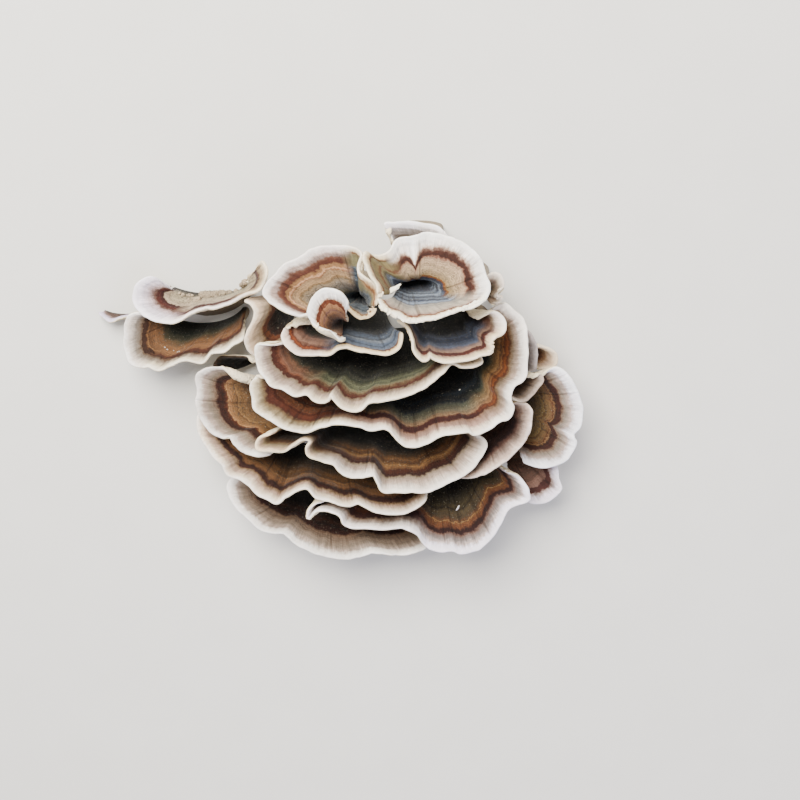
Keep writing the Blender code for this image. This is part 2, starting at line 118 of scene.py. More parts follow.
# Creases that run in from the margin, as (share of the way along it, depth, width, how far it holds the
# bands back).
CREASES = {
    "top_right_cap": [(0.7, 0.9, 1.8, 5.5)],
    "third_cap": [(0.432, 0.6, 1.5, 1.5), (0.615, 0.5, 1.2, 1)],
    "far_right_cap": [(0.413, 0.5, 0.9, 1.5), (0.62, 0.3, 0.7, 1)],
    "sixth_cap": [(0.615, 0.35, 0.6, 0.8)],
}
# Noise patterns of a cap: (size, detail). Swing and fray move the bands this far to either side.
PATTERNS = {
    "swing": (8.33, 2),
    "fray": (1.11, 2),
    "patches": (5.26, 3),
    "gaps": (3.03, 2),
    "dark_specks": (0.667, 1),
    "pale_specks": (0.526, 1),
    "grain": (0.385, 2),
}
SWING = 0.7
FRAY = 0.45
# Patterns that run out to the margin: (width, length, detail).
RUNS = {"fibres": (0.34, 7, 2), "streaks": (1.7, 14, 2), "creases": (3.1, 40, 1)}
# The underside's round pores. Real ones are two or three times finer: these are as coarse as they need to be
# to show.
PORE_STEP = 0.8
PORE_CREAM = "#E0D2B6"
# Values that fade from one end to the other: (of what, from, to, value there, value here).
FADES = {
    "edge": ("from_margin", 1, 3.2, 0, 1),
    "outer": ("from_margin", 6, 11, 1, 0),
    "inner": ("from_margin", 5, 9, 0, 1),
    "old": ("from_margin", 9, 14, 0, 1),
    "below": ("under", 0.45, 0.62, 0, 1),
    # underside darker towards the root: painted shade beneath the cap, with some real staining
    "underside_shade_and_stain": ("out", 0.85, 0.35, 0, 0.85),
    "fibre_tone": ("fibres", 0.3, 0.7, 0.7, 1.14),
    "streak_tone": ("streaks", 0.4, 0.7, 1.04, 0.66),
    "crease_lines": ("creases", 0.64, 0.68, 0, 1),
    "unbroken": ("gaps", 0.4, 0.62, 0.15, 1),
    "ring_tone": ("rings", -1, 1, 0.62, 1.14),
    "wide_ring_tone": ("wide_rings", -1, 1, 0.78, 1.08),
    "patch_tone": ("patches", 0.3, 0.7, 0.84, 1.1),
    "dark_dust": ("dark_specks", 0.6, 0.66, 0, 0.65),
    "pale_dust": ("pale_specks", 0.7, 0.74, 0, 0.3),
    # darker in the sunk pores: painted shade
    "pore_shade": ("pores", 0.15, 0.5, 0.72, 1),
    "grain_height": ("grain", 0.3, 0.7, 0, 1),
}
# Layers over the bands: (values that weaken it, strength, tone or colour, blend). Silky fibres, broader
# streaks and thin creases run through the outer bands, the creases with painted shade, and rings through the
# inner ones. Dust, spores and specks of moss lie on the older bands, and painted shade darkens the upper side
# towards the root.
UPPER_LAYERS = (
    (("edge",), 0.75, "fibre_tone", "MULTIPLY"),
    (("edge", "outer"), 1, "streak_tone", "MULTIPLY"),
    # Painted shade in the thin sunk creases.
    (("crease_lines", "edge"), 0.45, "#6E5646", "MULTIPLY"),
    (("inner", "unbroken"), 1, "ring_tone", "MULTIPLY"),
    (("inner",), 0.8, "wide_ring_tone", "MULTIPLY"),
    ((), 0.8, "patch_tone", "MULTIPLY"),
    (("dark_dust", "old"), 1, "#33302A", "MIX"),
    (("pale_dust", "old"), 1, "#B5AE98", "MIX"),
    # painted shade, near black, deep at the root of the upper side
    (("throat_shade",), 1, "#14110D", "MIX"),
)
UNDER_LAYERS = (
    # Painted shade in the sunk pores, darkest where they sink deepest.
    ((), 0.8, "pore_shade", "MULTIPLY"),
    # Painted shade beneath the cap, with a little real staining: the underside darkens to brown towards the
    # root.
    (("underside_shade_and_stain",), 1, "#4A3A28", "MIX"),
)
# Heights added to the fibres' own: (product of values, amount).
HEIGHTS = ((("grain_height",), 0.35), (("rings", "inner", "unbroken"), 0.25), (("crease_lines",), -0.6))
# Painted shade deep among the caps: the upper side darkens towards the root between these shares of the way
# out. Open cups stay pale longer.
THROAT_SHADE = (0.1, 0.3)
THROAT_SHADES = {"top_left_cap": (0.02, 0.14), "top_right_cap": (0.05, 0.2), "upper_left_cap": (0.06, 0.2)}
# Small growths on a cap where the front view sees it, as (across, up, half sizes, turn, distance from the
# margin whose colour it takes).
GROWTHS = {
    "top_right_cap": [(-3.4, 41.6, (3.7, 1, 0.6), 27, 0.3), (-7.6, 39.6, (1.6, 1, 0.8), 60, 1)],
    "third_cap": [(22.7, 3.9, (0.4, 0.25, 0.2), 20, 0)],
    "sixth_cap": [(22, -41, (1.3, 0.35, 0.3), 62, 0)],
    "outer_left_upper_cap": [(-77.2, 38, (1.7, 1.4, 1.2), 20, 14), (-80.5, 38, (0.9, 0.6, 0.5), 40, 13)],
    "outer_left_lower_cap": [(-94.5, 18.7, (1.8, 0.6, 0.5), -38, 8)],
}
# A growth's surface is this rough and this finely so, and stays this many times its size above the cut. Where
# the sight line misses the sheet, these parts of it are tried: (first, last, number).
LUMP_ROUGHNESS = 0.45
LUMP_GRAIN = 1.8
LUMP_CLEAR = 1.45
SIGHT_PARTS = (0.92, 1.06, 60)
# Points nearer than these, in metres, are one point of a seam, or lie on the cut.
SEAM_DISTANCE = 1e-7
CUT_DISTANCE = 1e-6
# Rows of crumbs, as (from, to, how far they stray, number, size, distance from the margin).
CRUMBS = {
    "top_left_cap": [((-12, 33), (-9.8, 36), 0.8, 7, 0.6, 0.5)],
    "top_right_cap": [
        ((-8, 35), (-1.5, 31.4), 0.8, 14, 0.75, 0.5),
        ((0.5, 30.1), (9, 29.9), 0.4, 16, 0.6, 0.2),
        ((9, 29.9), (22, 34), 0.4, 20, 0.6, 0.2),
        ((22, 34), (33, 38.6), 0.5, 24, 0.7, 0.2),
    ],
    "upper_right_cap": [((33.5, 18), (35.8, 21.5), 0.5, 8, 0.7, 0.2), ((2, 28), (4, 23), 0.4, 6, 0.4, 1)],
    "right_upper_lobe": [((36.5, 38), (39.5, 41), 0.7, 6, 0.6, 1)],
    "outer_left_upper_cap": [
        ((-75.5, 43), (-67, 40.5), 1.4, 22, 1.9, 14),
        ((-67, 41.5), (-58.5, 46), 0.9, 16, 1.2, 14),
        ((-84, 40), (-77, 38.5), 1, 8, 1, 14),
    ],
    "outer_left_lower_cap": [((-90, 20), (-84, 18), 0.8, 5, 0.35, 3)],
}


@dataclass
class Cap:
    """A cap: its margin, and the root line that its sheet rises from.

    margin    points (across, up, height) in the front view, anticlockwise; a point with no height takes
              it from its neighbours
    flare     steepness of the sheet at the margin, at even steps along it: 0 is flat, 90 stands on end
    root      centre, radii and angles of the root line: (x, y, radius_x, radius_y, start, end)
    lean      how far the sheet leans as it leaves the root: (x, y, height)
    foot      thickness of the root, at even steps along it: it spreads towards the next cap's root
    """

    name: str
    margin: list
    flare: tuple
    root: tuple
    lean: tuple
    foot: tuple


CAPS = [
    Cap(
        name="top_left_cap",
        margin=[
            (-9, 36, 45), (-8.2, 40, 44.5), (-9.6, 44), (-13.2, 46, 42.5), (-16.2, 48.5, 41.5),
            (-16.6, 52), (-15.4, 56.3, 39), (-19.6, 58.4), (-25.8, 59, 37),
            (-29.9, 58.8), (-33.6, 57.8), (-38.1, 54.9), (-43.1, 52.4), (-48, 48.3), (-50.9, 45.4),
            (-52.8, 41.3, 40), (-51.3, 39.2), (-48, 36.4, 44), (-43.1, 33.5, 47), (-38.1, 32),
            (-35.5, 32.8, 46), (-32, 35.5), (-28, 38.2, 42.5), (-23, 38, 41), (-19.6, 34.6, 39.5),
            (-17, 31.8, 40), (-13.2, 31, 42), (-10.4, 32.4, 43.5), (-9.4, 34.6, 44.5),
        ],
        flare=(70, 45, 18, 15, 15, 30, 65, 70, 70),
        root=(-14.5, 39.5, 0.8, 0.8, 10, 350),
        lean=(-0.5, 0, 45),
        foot=(3, 3.5, 3, 2, 2, 2.5),
    ),
    Cap(
        name="top_right_cap",
        margin=[
            (-8.6, 38.5, 49), (-6.6, 34.6), (-1.9, 31.8, 51), (3, 29.3, 51), (8.4, 30, 51), (15, 31.8),
            (21.6, 34.1, 50), (28.2, 35.7), (33.3, 39.2, 45), (34.3, 42.5), (33.1, 47.9, 41),
            (31.9, 52.8), (27.7, 57.4), (21.6, 61.3, 37), (16.6, 62.7), (10, 63.8, 36), (6.3, 62.9),
            (4.7, 61.9), (1.8, 61.9), (-1.1, 61.1, 36), (-4, 57), (-7.5, 55.3), (-10.4, 55.4, 40),
            (-13, 57, 42), (-14, 54.5, 44), (-12.6, 51), (-10.8, 47.4, 47), (-9, 44.5),
            (-8.4, 40.5, 48),
        ],
        flare=(60, 78, 76, 50, 15, 12, 12, 20, 35, 60),
        root=(5.5, 45.5, 4.5, 0.8, 192, 538),
        lean=(0, 0, 50),
        foot=(5, 7, 7, 5, 3.5, 4, 5),
    ),
    Cap(
        name="top_back_cap",
        margin=[
            (21, 58.5, 30), (19.5, 61.5), (17, 64.5, 32), (13.3, 66.4), (5.1, 67.7), (-1.1, 68.1, 32.5),
            (-6.5, 67.3, 32), (-4.8, 65.2), (-2.1, 60.9, 30),
        ],
        flare=(12, 10, 10, 12),
        root=(7, 59, 9, 1.5, 15, 165),
        lean=(0, 1, 22),
        foot=(2.5, 3, 3, 2.5),
    ),
    Cap(
        name="curled_cap",
        margin=[
            (-19.9, 34.5, 50), (-20.1, 36.4, 51.5), (-21, 39.2), (-22.4, 41, 53.5), (-26.6, 42.3),
            (-30.3, 41.9), (-32.8, 40.1), (-34.9, 37, 53.5), (-35.7, 33), (-34.4, 30.6),
            (-29.5, 27.9, 53), (-26.6, 26.9), (-22.5, 23.8, 50), (-20.5, 24, 47),
        ],
        flare=(60, 25, 10, 10, 40, 70),
        root=(-21, 34.5, 0.5, 0.5, 25, 265),
        lean=(0, -2, 56),
        foot=(1.2, 1.2, 1.2, 1.2),
    ),
    Cap(
        name="right_upper_lobe",
        margin=[
            (37, 35.8, 31), (39.5, 37.6), (37.8, 40.3), (40.3, 44.2, 33), (38.5, 47.9), (36.4, 48.9),
            (34, 48.4, 32), (31.5, 46, 31),
        ],
        flare=(15, 12, 12, 15),
        root=(29.5, 42.5, 1.5, 2, -50, 120),
        lean=(2, 0, 18),
        foot=(2.5, 3.5, 2.5),
    ),
    Cap(
        name="upper_left_cap",
        margin=[
            (-31, 30, 32), (-35.3, 28.4, 36), (-38.5, 28.6), (-41.4, 28), (-45.6, 24.5, 42),
            (-44.9, 22.4), (-41.8, 18.7, 46), (-37.7, 16.7), (-32, 17.1, 48), (-26.6, 17.1),
            (-23.7, 19.3), (-21.7, 19.8), (-15.1, 18.3), (-10.1, 17.5), (-4.3, 17.1), (-0.4, 19.3, 48),
            (0.8, 22.6), (0.6, 25.5, 46),
        ],
        flare=(20, 20, 50, 76, 78, 78, 70),
        root=(-11, 41, 21, 9.5, 175, 285),
        lean=(0, -2, 24),
        foot=(3, 8, 11, 11, 11, 10, 6),
    ),
    Cap(
        name="upper_right_cap",
        margin=[
            (-1, 30.8, 40.5), (2.6, 28, 43), (4.6, 22.5, 47.5), (5.6, 17.5, 48), (9.3, 14.6),
            (10.5, 15.1), (11.3, 16.6),
            (13.1, 15.5), (20.9, 14.4, 48), (26.6, 15.5), (30.8, 17.1), (35.3, 18.1, 46), (34.5, 20.6),
            (36.1, 23.6, 43), (40.5, 25.6), (40.7, 29.8, 38), (37.2, 33.1), (33.9, 32.2),
            (30, 30.5, 35),
        ],
        flare=(70, 78, 78, 76, 60, 25, 20),
        root=(11, 41, 13, 9.5, 232, 340),
        lean=(0, -2, 24),
        foot=(7, 9, 7.5, 6, 5, 3),
    ),
    Cap(
        name="left_shoulder_cap",
        margin=[
            (-50, 38, 20.5), (-57, 38.6, 21.5), (-59.4, 37.9), (-56.3, 34.4, 32), (-56.5, 30.7),
            (-58.9, 25.3), (-59.2, 22.8, 34), (-57.5, 17.5), (-55, 16, 33), (-48, 17, 31),
        ],
        flare=(15, 12, 12, 20),
        root=(-36, 37, 4, 6, 115, 245),
        lean=(-2, 0, 18),
        foot=(3, 6, 8, 7, 4),
    ),
    Cap(
        name="second_cap",
        margin=[
            (-44, 22.5, 36), (-50.1, 21.2, 38), (-55, 20.8), (-54.8, 13.8, 39), (-52.1, 8.8),
            (-49.3, 5.1, 42), (-45.1, 4.1), (-40.6, 1.8, 44), (-35.7, 2), (-32.8, -0.2), (-30.3, -1),
            (-28.2, -0.2, 45), (-26.9, 1.6), (-23.7, -1.5), (-18.4, -4.1, 46), (-15.9, -4.1),
            (-11.8, -1), (-6, -0.4), (0.2, 0.8), (7.7, 3.9, 46), (12.2, 6.8), (16.8, 10.5),
            (20.1, 13.4, 44), (24, 12.6), (28.7, 13, 43), (31.6, 14.2), (30, 18, 38),
        ],
        flare=(12, 15, 40, 72, 76, 78, 76, 72, 60),
        root=(-8, 30, 30, 10, 198, 342),
        lean=(0, -2, 22),
        foot=(3, 9, 13, 15, 15.5, 15.5, 15, 12, 4),
    ),
    Cap(
        name="third_cap",
        margin=[
            (-47, 9.5, 32), (-51.9, 8.1), (-55.2, 8.3, 34), (-57.2, 5.6), (-56.9, 0.2, 37),
            (-55.6, -3.9), (-50.6, -7.6, 41), (-45.3, -10.7), (-37, -12.1, 43), (-30, -10.3),
            (-24.3, -8.8), (-15.8, -10.5, 44), (-10.4, -11.7), (-5.9, -10.9), (-1.6, -13), (0.3, -15.8),
            (5.2, -17.9, 44), (10.2, -16.5), (14.3, -13.8), (21.7, -13.2, 44), (26.2, -12.3),
            (28.7, -13.4), (34.9, -11.7, 42), (38.9, -8.8), (41.7, -8.2), (43.9, -4.6, 40), (42.9, 1.1),
            (44.1, 4.8), (47.8, 7.4, 37), (48.7, 13), (49.1, 19.2, 33), (48.6, 26.3), (47.1, 31, 30),
            (43, 35.1), (40.9, 37.2), (36, 36, 27),
        ],
        flare=(12, 15, 50, 74, 76, 76, 70, 55, 28, 15, 12, 12),
        root=(-4, 22, 34, 18, 190, 380),
        lean=(0, -2, 20),
        foot=(4, 14, 20, 20.5, 19, 14, 11, 8, 4),
    ),
    Cap(
        name="right_crescent",
        margin=[
            (48, 10.5, 22), (51.4, 10.8), (52.3, 15.3, 24), (52.2, 21.9), (49.1, 26.6), (45, 28.5, 23),
        ],
        flare=(15, 12, 12),
        root=(36, 19, 3, 6, -55, 80),
        lean=(2, 0, 12),
        foot=(2, 3.5, 2),
    ),
    Cap(
        name="small_right_lobe",
        margin=[
            (42.5, 1.8, 30), (45.4, 0.2), (47.8, -0.2, 30), (50.3, 1.1), (54, 5.6), (55.3, 7.6, 27),
            (54.5, 9.3), (51, 8.2, 26.5),
        ],
        flare=(30, 15, 12, 12),
        root=(37, 6, 2, 2.5, -65, 70),
        lean=(2, 0, 16),
        foot=(2, 3.5, 2),
    ),
    Cap(
        name="far_right_knob",
        margin=[
            (52.5, 12, 16), (56.1, 11), (59, 11.6), (61, 15.7, 17), (58.1, 19.2), (55.3, 19.8),
            (50, 18.6, 17),
        ],
        flare=(12, 12, 12),
        root=(47, 14.5, 1.5, 2, -80, 90),
        lean=(2, 0, 7),
        foot=(2, 3, 2),
    ),
    Cap(
        name="far_right_cap",
        margin=[
            (47, -24.5, 23), (52.8, -26.3, 24), (57.3, -25.7), (62.7, -24.1), (65.6, -20.8),
            (67.5, -16.7), (66.4, -13.8, 23), (68.9, -10.5), (70, -4.7), (69.5, -0.6), (66.4, 6.8, 22),
            (62.7, 11.8), (60.6, 12.4), (56.5, 10.8), (52.5, 7.5, 21),
        ],
        flare=(20, 15, 12, 10, 10, 12),
        root=(42, -6, 4, 12, -75, 60),
        lean=(2, 0, 13),
        foot=(3, 6, 7, 6, 3),
    ),
    Cap(
        name="right_middle_cap",
        margin=[
            (20, -28, 28), (25.2, -30, 33), (31.4, -29, 35), (39.6, -24.5), (45, -20, 34),
            (48.7, -15.3), (50.7, -7.6, 32), (50.9, -4.7), (49.9, -2.4), (45, -0.8, 28), (39, -0.5, 25),
        ],
        flare=(65, 50, 30, 20, 15),
        root=(24, -4, 8, 10, -75, 15),
        lean=(2, -1, 18),
        foot=(5, 10, 12, 12, 10, 5),
    ),
    Cap(
        name="left_cap",
        margin=[
            (-57, 6, 17), (-61, 7.8, 20), (-65.3, 9.5, 22), (-69.2, 12.6), (-74.1, 12.2), (-78.2, 8.9),
            (-77.6, 4.4, 23), (-78.2, -1.4), (-76.2, -7.2), (-72.5, -12.5, 25), (-70, -14),
            (-65.9, -14), (-63, -17.5), (-58.9, -20.6, 28), (-54.8, -21.6, 30), (-50, -20.5, 31),
        ],
        flare=(12, 12, 12, 14, 20, 45),
        root=(-36, -2, 8, 14, 155, 248),
        lean=(-3, 0, 13),
        foot=(3, 7, 9, 12, 12, 6),
    ),
    Cap(
        name="shaded_cap",
        margin=[
            (-53, 12, 14), (-56, 14.8), (-58.7, 16.4), (-65, 16.9, 15), (-69, 16.3), (-71.5, 13.5),
            (-70, 9, 12),
        ],
        flare=(15, 15, 12),
        root=(-51, 8, 4, 2, 80, 200),
        lean=(-1, 0, 7),
        foot=(2, 3, 2),
    ),
    Cap(
        name="fourth_cap",
        margin=[
            (-49, -13.5, 36), (-54.6, -16.6, 37), (-54.8, -18.3), (-50.6, -19.1), (-44, -19.3, 39),
            (-40.7, -16.7), (-38.3, -15), (-35.8, -14.6, 41), (-34, -16.2), (-35.4, -18.3),
            (-35.4, -20.4), (-30, -23.2, 41), (-24.3, -25.1), (-23.5, -26.5), (-21.5, -28.5),
            (-15.1, -29.4), (-9.3, -28.8, 41), (-7.6, -32.1), (-6.8, -34.4), (-1.9, -35.4),
            (6.4, -35.5), (9.7, -35.4, 40), (17.1, -32.5), (24.1, -29.4, 38), (29.4, -24.7),
            (33.3, -18.9, 35), (33.6, -16.8), (30.1, -13.4), (26, -12, 31),
        ],
        flare=(40, 70, 75, 76, 76, 72, 60, 30, 20),
        root=(-9, -2, 28, 15, 200, 335),
        lean=(0, -2, 20),
        foot=(4, 12, 16, 12, 9, 7.5, 9, 8, 4),
    ),
    Cap(
        name="fifth_cap",
        margin=[
            (-71, -3, 18), (-76.5, -5), (-77.6, -9.2, 20), (-75.8, -15), (-72.1, -21, 24),
            (-67.9, -25.5), (-66.3, -28.8, 27), (-61.8, -30.4), (-58.1, -32.9, 31), (-55.2, -36.2),
            (-50.6, -37.9, 34), (-47.1, -39.8), (-44.5, -37.5), (-39.9, -35, 35), (-35.6, -34.2),
            (-32.1, -37.7), (-25.9, -38.7, 36), (-19.2, -40.7), (-16.3, -39.5), (-9.3, -42.2),
            (-1.9, -43.4, 36), (4.7, -42.2), (9.7, -38.3, 34), (10.3, -36.6), (8.5, -32, 28),
        ],
        flare=(10, 12, 20, 40, 65, 74, 76, 76, 76, 70),
        root=(-26, -10, 34, 20, 185, 315),
        lean=(0, -2, 16),
        foot=(4, 8, 12, 13, 13, 9.5, 6, 6, 4),
    ),
    Cap(
        name="sixth_cap",
        margin=[
            (-28, -38.5, 30), (-32.5, -40.3), (-34.6, -42.4), (-35.2, -45.5, 32), (-32.1, -42.4),
            (-28, -42.2), (-22.5, -44.6, 33), (-21.1, -47.3), (-14.2, -48.4), (-7.6, -49.5),
            (2.2, -49.4, 32), (7.2, -52.3), (10.1, -56.2, 29), (14.6, -58.3), (21.2, -58.3, 27),
            (22.6, -59.1), (29.5, -57.6), (35.3, -53.1, 27), (38.4, -48.2), (40.8, -43.6),
            (44.5, -40.3, 27), (49.9, -38.3), (49.5, -34.6, 26), (47, -30.6), (42, -28, 23),
        ],
        flare=(70, 76, 76, 70, 50, 28, 25, 25, 20, 20),
        root=(2, -24, 30, 16, 228, 350),
        lean=(0, -2, 15),
        foot=(3.5, 8, 9.5, 10, 9, 8, 7, 5, 3),
    ),
    Cap(
        name="lower_right_lobe",
        margin=[
            (45, -36.5, 16), (49.9, -40.1, 18), (54.8, -39.7), (59.8, -36.6), (62.1, -34.2, 18),
            (61, -30), (60.2, -25.3, 17), (56, -22.5, 15),
        ],
        flare=(12, 12, 12),
        root=(39, -25, 4, 5, -75, 20),
        lean=(2, -1, 9),
        foot=(2, 4, 4, 2),
    ),
    Cap(
        name="bottom_cap",
        margin=[
            (-59, -28.5, 15), (-65.1, -30, 17), (-66.4, -33.3), (-65.1, -37.9, 21), (-61.8, -42),
            (-58.1, -45.7, 24), (-53.9, -49.4), (-48.6, -50.6, 26), (-44.9, -51), (-39.9, -55.2),
            (-34.2, -58, 28), (-25.9, -60.1), (-18.4, -60.4, 28), (-10.1, -58.5), (-3.5, -58.9, 27),
            (6.4, -58.1, 25), (9.9, -56.4), (9, -52, 20),
        ],
        flare=(12, 15, 35, 55, 62, 65, 68, 68),
        root=(-24, -35, 28, 16, 195, 308),
        lean=(0, -2, 13),
        foot=(3, 6, 8, 9, 7.5, 4, 1.5),
    ),
    Cap(
        name="outer_left_upper_cap",
        margin=[
            (-88, 43.8, 3), (-90.5, 45.8, 7), (-94.7, 47.4, 10), (-99.9, 45.1), (-101.8, 38.1, 13),
            (-99.3, 33.1, 15), (-93.1, 29.8, 18), (-87.3, 29, 20), (-79.9, 33.1), (-74.1, 35.6, 21),
            (-70, 35.5), (-65, 37, 23), (-56.7, 40.9, 28), (-53, 42.5), (-50.5, 47.9, 31),
            (-51.7, 51.8, 28), (-55.5, 49.5, 18), (-58, 47.5, 6),
        ],
        flare=(12, 12, 25, 66, 74, 70, 60, 45, 30),
        root=(-73, 46, 22, 11.5, 228, 314),
        lean=(0, -1, 8),
        foot=(5, 11, 12.5, 11, 9, 6.5, 3),
    ),
    Cap(
        name="outer_left_lower_cap",
        margin=[
            (-94, 33, 12), (-100.1, 33.3, 13), (-104.2, 31.8), (-105.2, 26, 14), (-104.8, 17.8, 15),
            (-102.6, 13.2), (-98.4, 12.2, 18), (-96.4, 12.4), (-92.2, 11.1, 20), (-87.3, 13),
            (-82.4, 14.7), (-75.4, 14, 21), (-72.1, 18), (-67.5, 18.4, 21), (-64.2, 20.6),
            (-60.1, 22.5, 20), (-59, 26, 14),
        ],
        flare=(12, 12, 35, 72, 76, 74, 60),
        root=(-77, 32, 17, 9.5, 190, 345),
        lean=(0, -1, 9),
        foot=(3, 6, 8, 8, 6, 3),
    ),
    Cap(
        name="outer_left_tip",
        margin=[
            (-115, 34, 2.5), (-114.3, 32.8, 5), (-112.4, 31.4), (-110.4, 30.2, 8), (-107, 31.4, 8),
            (-103.5, 32.2, 7), (-99.5, 32.4, 6),
        ],
        flare=(30, 60, 70, 70),
        root=(-106, 28, 8, 2, 185, 335),
        lean=(0, 0, 3),
        foot=(1.5, 2, 1.5),
    ),
]

# Colours are given as they look in the photo. The studio's light and the view lift them, so they are painted
# darker, from these levels to those, and a little greyer.
SEEN_LEVELS = (0, 30, 60, 80, 100, 120, 140, 160, 185, 200, 230, 245, 255)
PAINT_LEVELS = (0, 10, 24, 35, 48, 62, 80, 100, 122, 142, 204, 240, 254)
PAINT_SATURATION = 0.93
# Bands lie a little nearer to the margin than they seem in the front view: (nearer than this, share).
NARROWING = ((6, 0.88), (9, 0.95))
